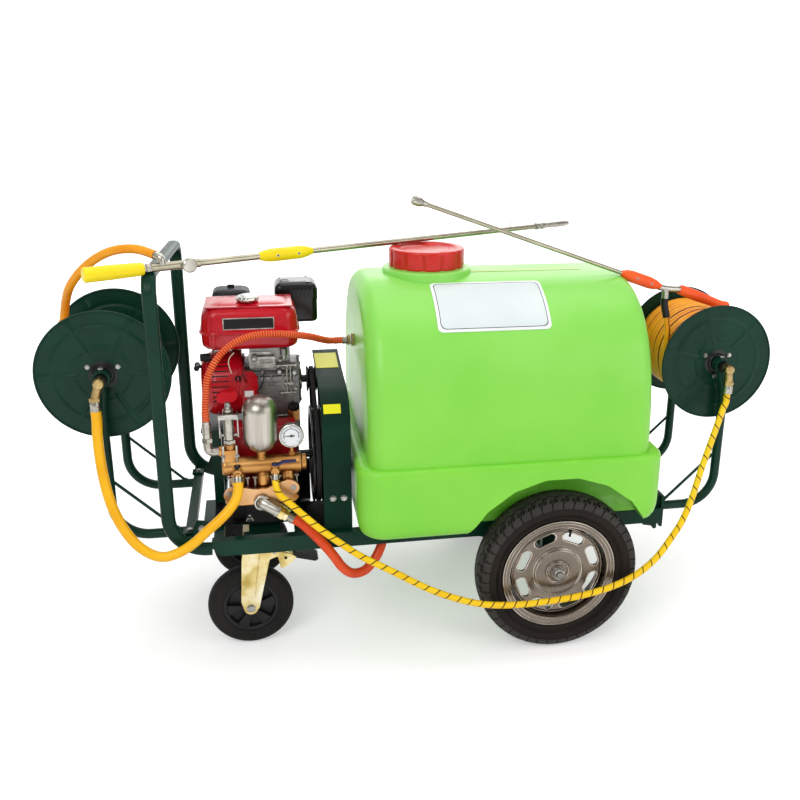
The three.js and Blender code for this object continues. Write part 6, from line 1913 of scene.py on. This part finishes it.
# ---------------------------------------------------------------- stage
def stage():
    floor = Shade("floor")
    floor.b.inputs["Base Color"].default_value = (0.86, 0.86, 0.86, 1)
    floor.b.inputs["Roughness"].default_value = 0.9
    floor.b.inputs["Specular IOR Level"].default_value = 0.1
    out = floor.nt.nodes["Material Output"]
    glow = floor.node("Emission")
    path = floor.node("LightPath")
    add = floor.node("AddShader")
    seen = floor.math("MAXIMUM", path.outputs["Is Camera Ray"], path.outputs["Is Glossy Ray"])
    seen = floor.math("MAXIMUM", seen, path.outputs["Is Transmission Ray"])
    place = floor.split("Object")
    far = floor.node("MapRange", **{"From Min": 0.5, "From Max": 2.2, "To Min": FLOOR_GLOW, "To Max": 1.0})
    far.interpolation_type = "SMOOTHSTEP"
    away = floor.math("MAXIMUM", floor.math("ABSOLUTE", place["Y"]),
                      floor.math("MULTIPLY", floor.math("ABSOLUTE", place["X"]), 0.55))
    floor.link(away, far.inputs["Value"])
    floor.link(floor.math("MULTIPLY", seen, far.outputs["Result"]), glow.inputs["Strength"])
    floor.link(floor.b.outputs["BSDF"], add.inputs[0])
    floor.link(glow.outputs["Emission"], add.inputs[1])
    floor.link(add.outputs["Shader"], out.inputs["Surface"])
    bm = bmesh.new()
    profile = [(-9, 0), (7, 0)] + [(7 + 3 * math.sin(a), 3 - 3 * math.cos(a))
                                   for a in [math.pi / 2 * k / 12 for k in range(1, 13)]] + [(10, 12)]
    rows = [[bm.verts.new((x, y, z)) for x in (-14, 14)] for y, z in profile]
    for a, b in zip(rows, rows[1:]):
        f = bm.faces.new([a[0], a[1], b[1], b[0]])
        f.smooth = True
    obj = add_object("floor", bm, [floor.m])
    world = bpy.data.worlds.new("studio")
    scene.world = world
    world.use_nodes = True
    wn = world.node_tree
    bg = wn.nodes["Background"]
    lp = wn.nodes.new("ShaderNodeLightPath")
    mx = wn.nodes.new("ShaderNodeMath")
    mx.operation = "MULTIPLY_ADD"
    wn.links.new(lp.outputs["Is Camera Ray"], mx.inputs[0])
    mx.inputs[1].default_value = 1.0 - WORLD
    mx.inputs[2].default_value = WORLD
    wn.links.new(mx.outputs[0], bg.inputs["Strength"])
    bg.inputs["Color"].default_value = (1, 1, 1, 1)
    for name, at, size, power, target in LAMPS:
        data = bpy.data.lights.new(name, "AREA")
        data.shape = "RECTANGLE"
        data.size, data.size_y = size
        data.energy = power
        lamp = bpy.data.objects.new(name, data)
        lamp.location = at
        lamp.rotation_euler = (Vector(target) - Vector(at)).to_track_quat("-Z", "Y").to_euler()
        scene.collection.objects.link(lamp)


FLOOR_GLOW = 0.34
WORLD = 0.5
LAMPS = (
    ("key", (-1.9, -3.0, 3.0), (2.2, 2.0), 62, (0, 0, 0.5)),
    ("fill", (2.6, -2.6, 1.8), (2.4, 2.0), 32, (0, 0, 0.5)),
    ("top", (0.2, 0.3, 3.6), (3.4, 2.6), 46, (0, 0, 0.4)),
    ("rear", (0.8, 3.2, 2.4), (3.0, 2.0), 26, (0, 0, 0.6)),
)

carrier()
handle()
for end in ("left", "right"):
    for side, where in SIDES:
        stand(end, side, where)
    reel(end)
axle()
for side, where in SIDES:
    tyre(side, where)
    rim(side, where)
    caster(side, where)
wound()
tank()
label()
lid()
return_union()
engine()
recoil()
fuel()
air_box()
silencer()
stop_switch()
pulleys()
belts()
guard_details()
pump()
manifold()
vessel()
gauge()
regulator()
taps()
left_lance()
right_lance()
stage()

scene.view_settings.view_transform = "Standard"
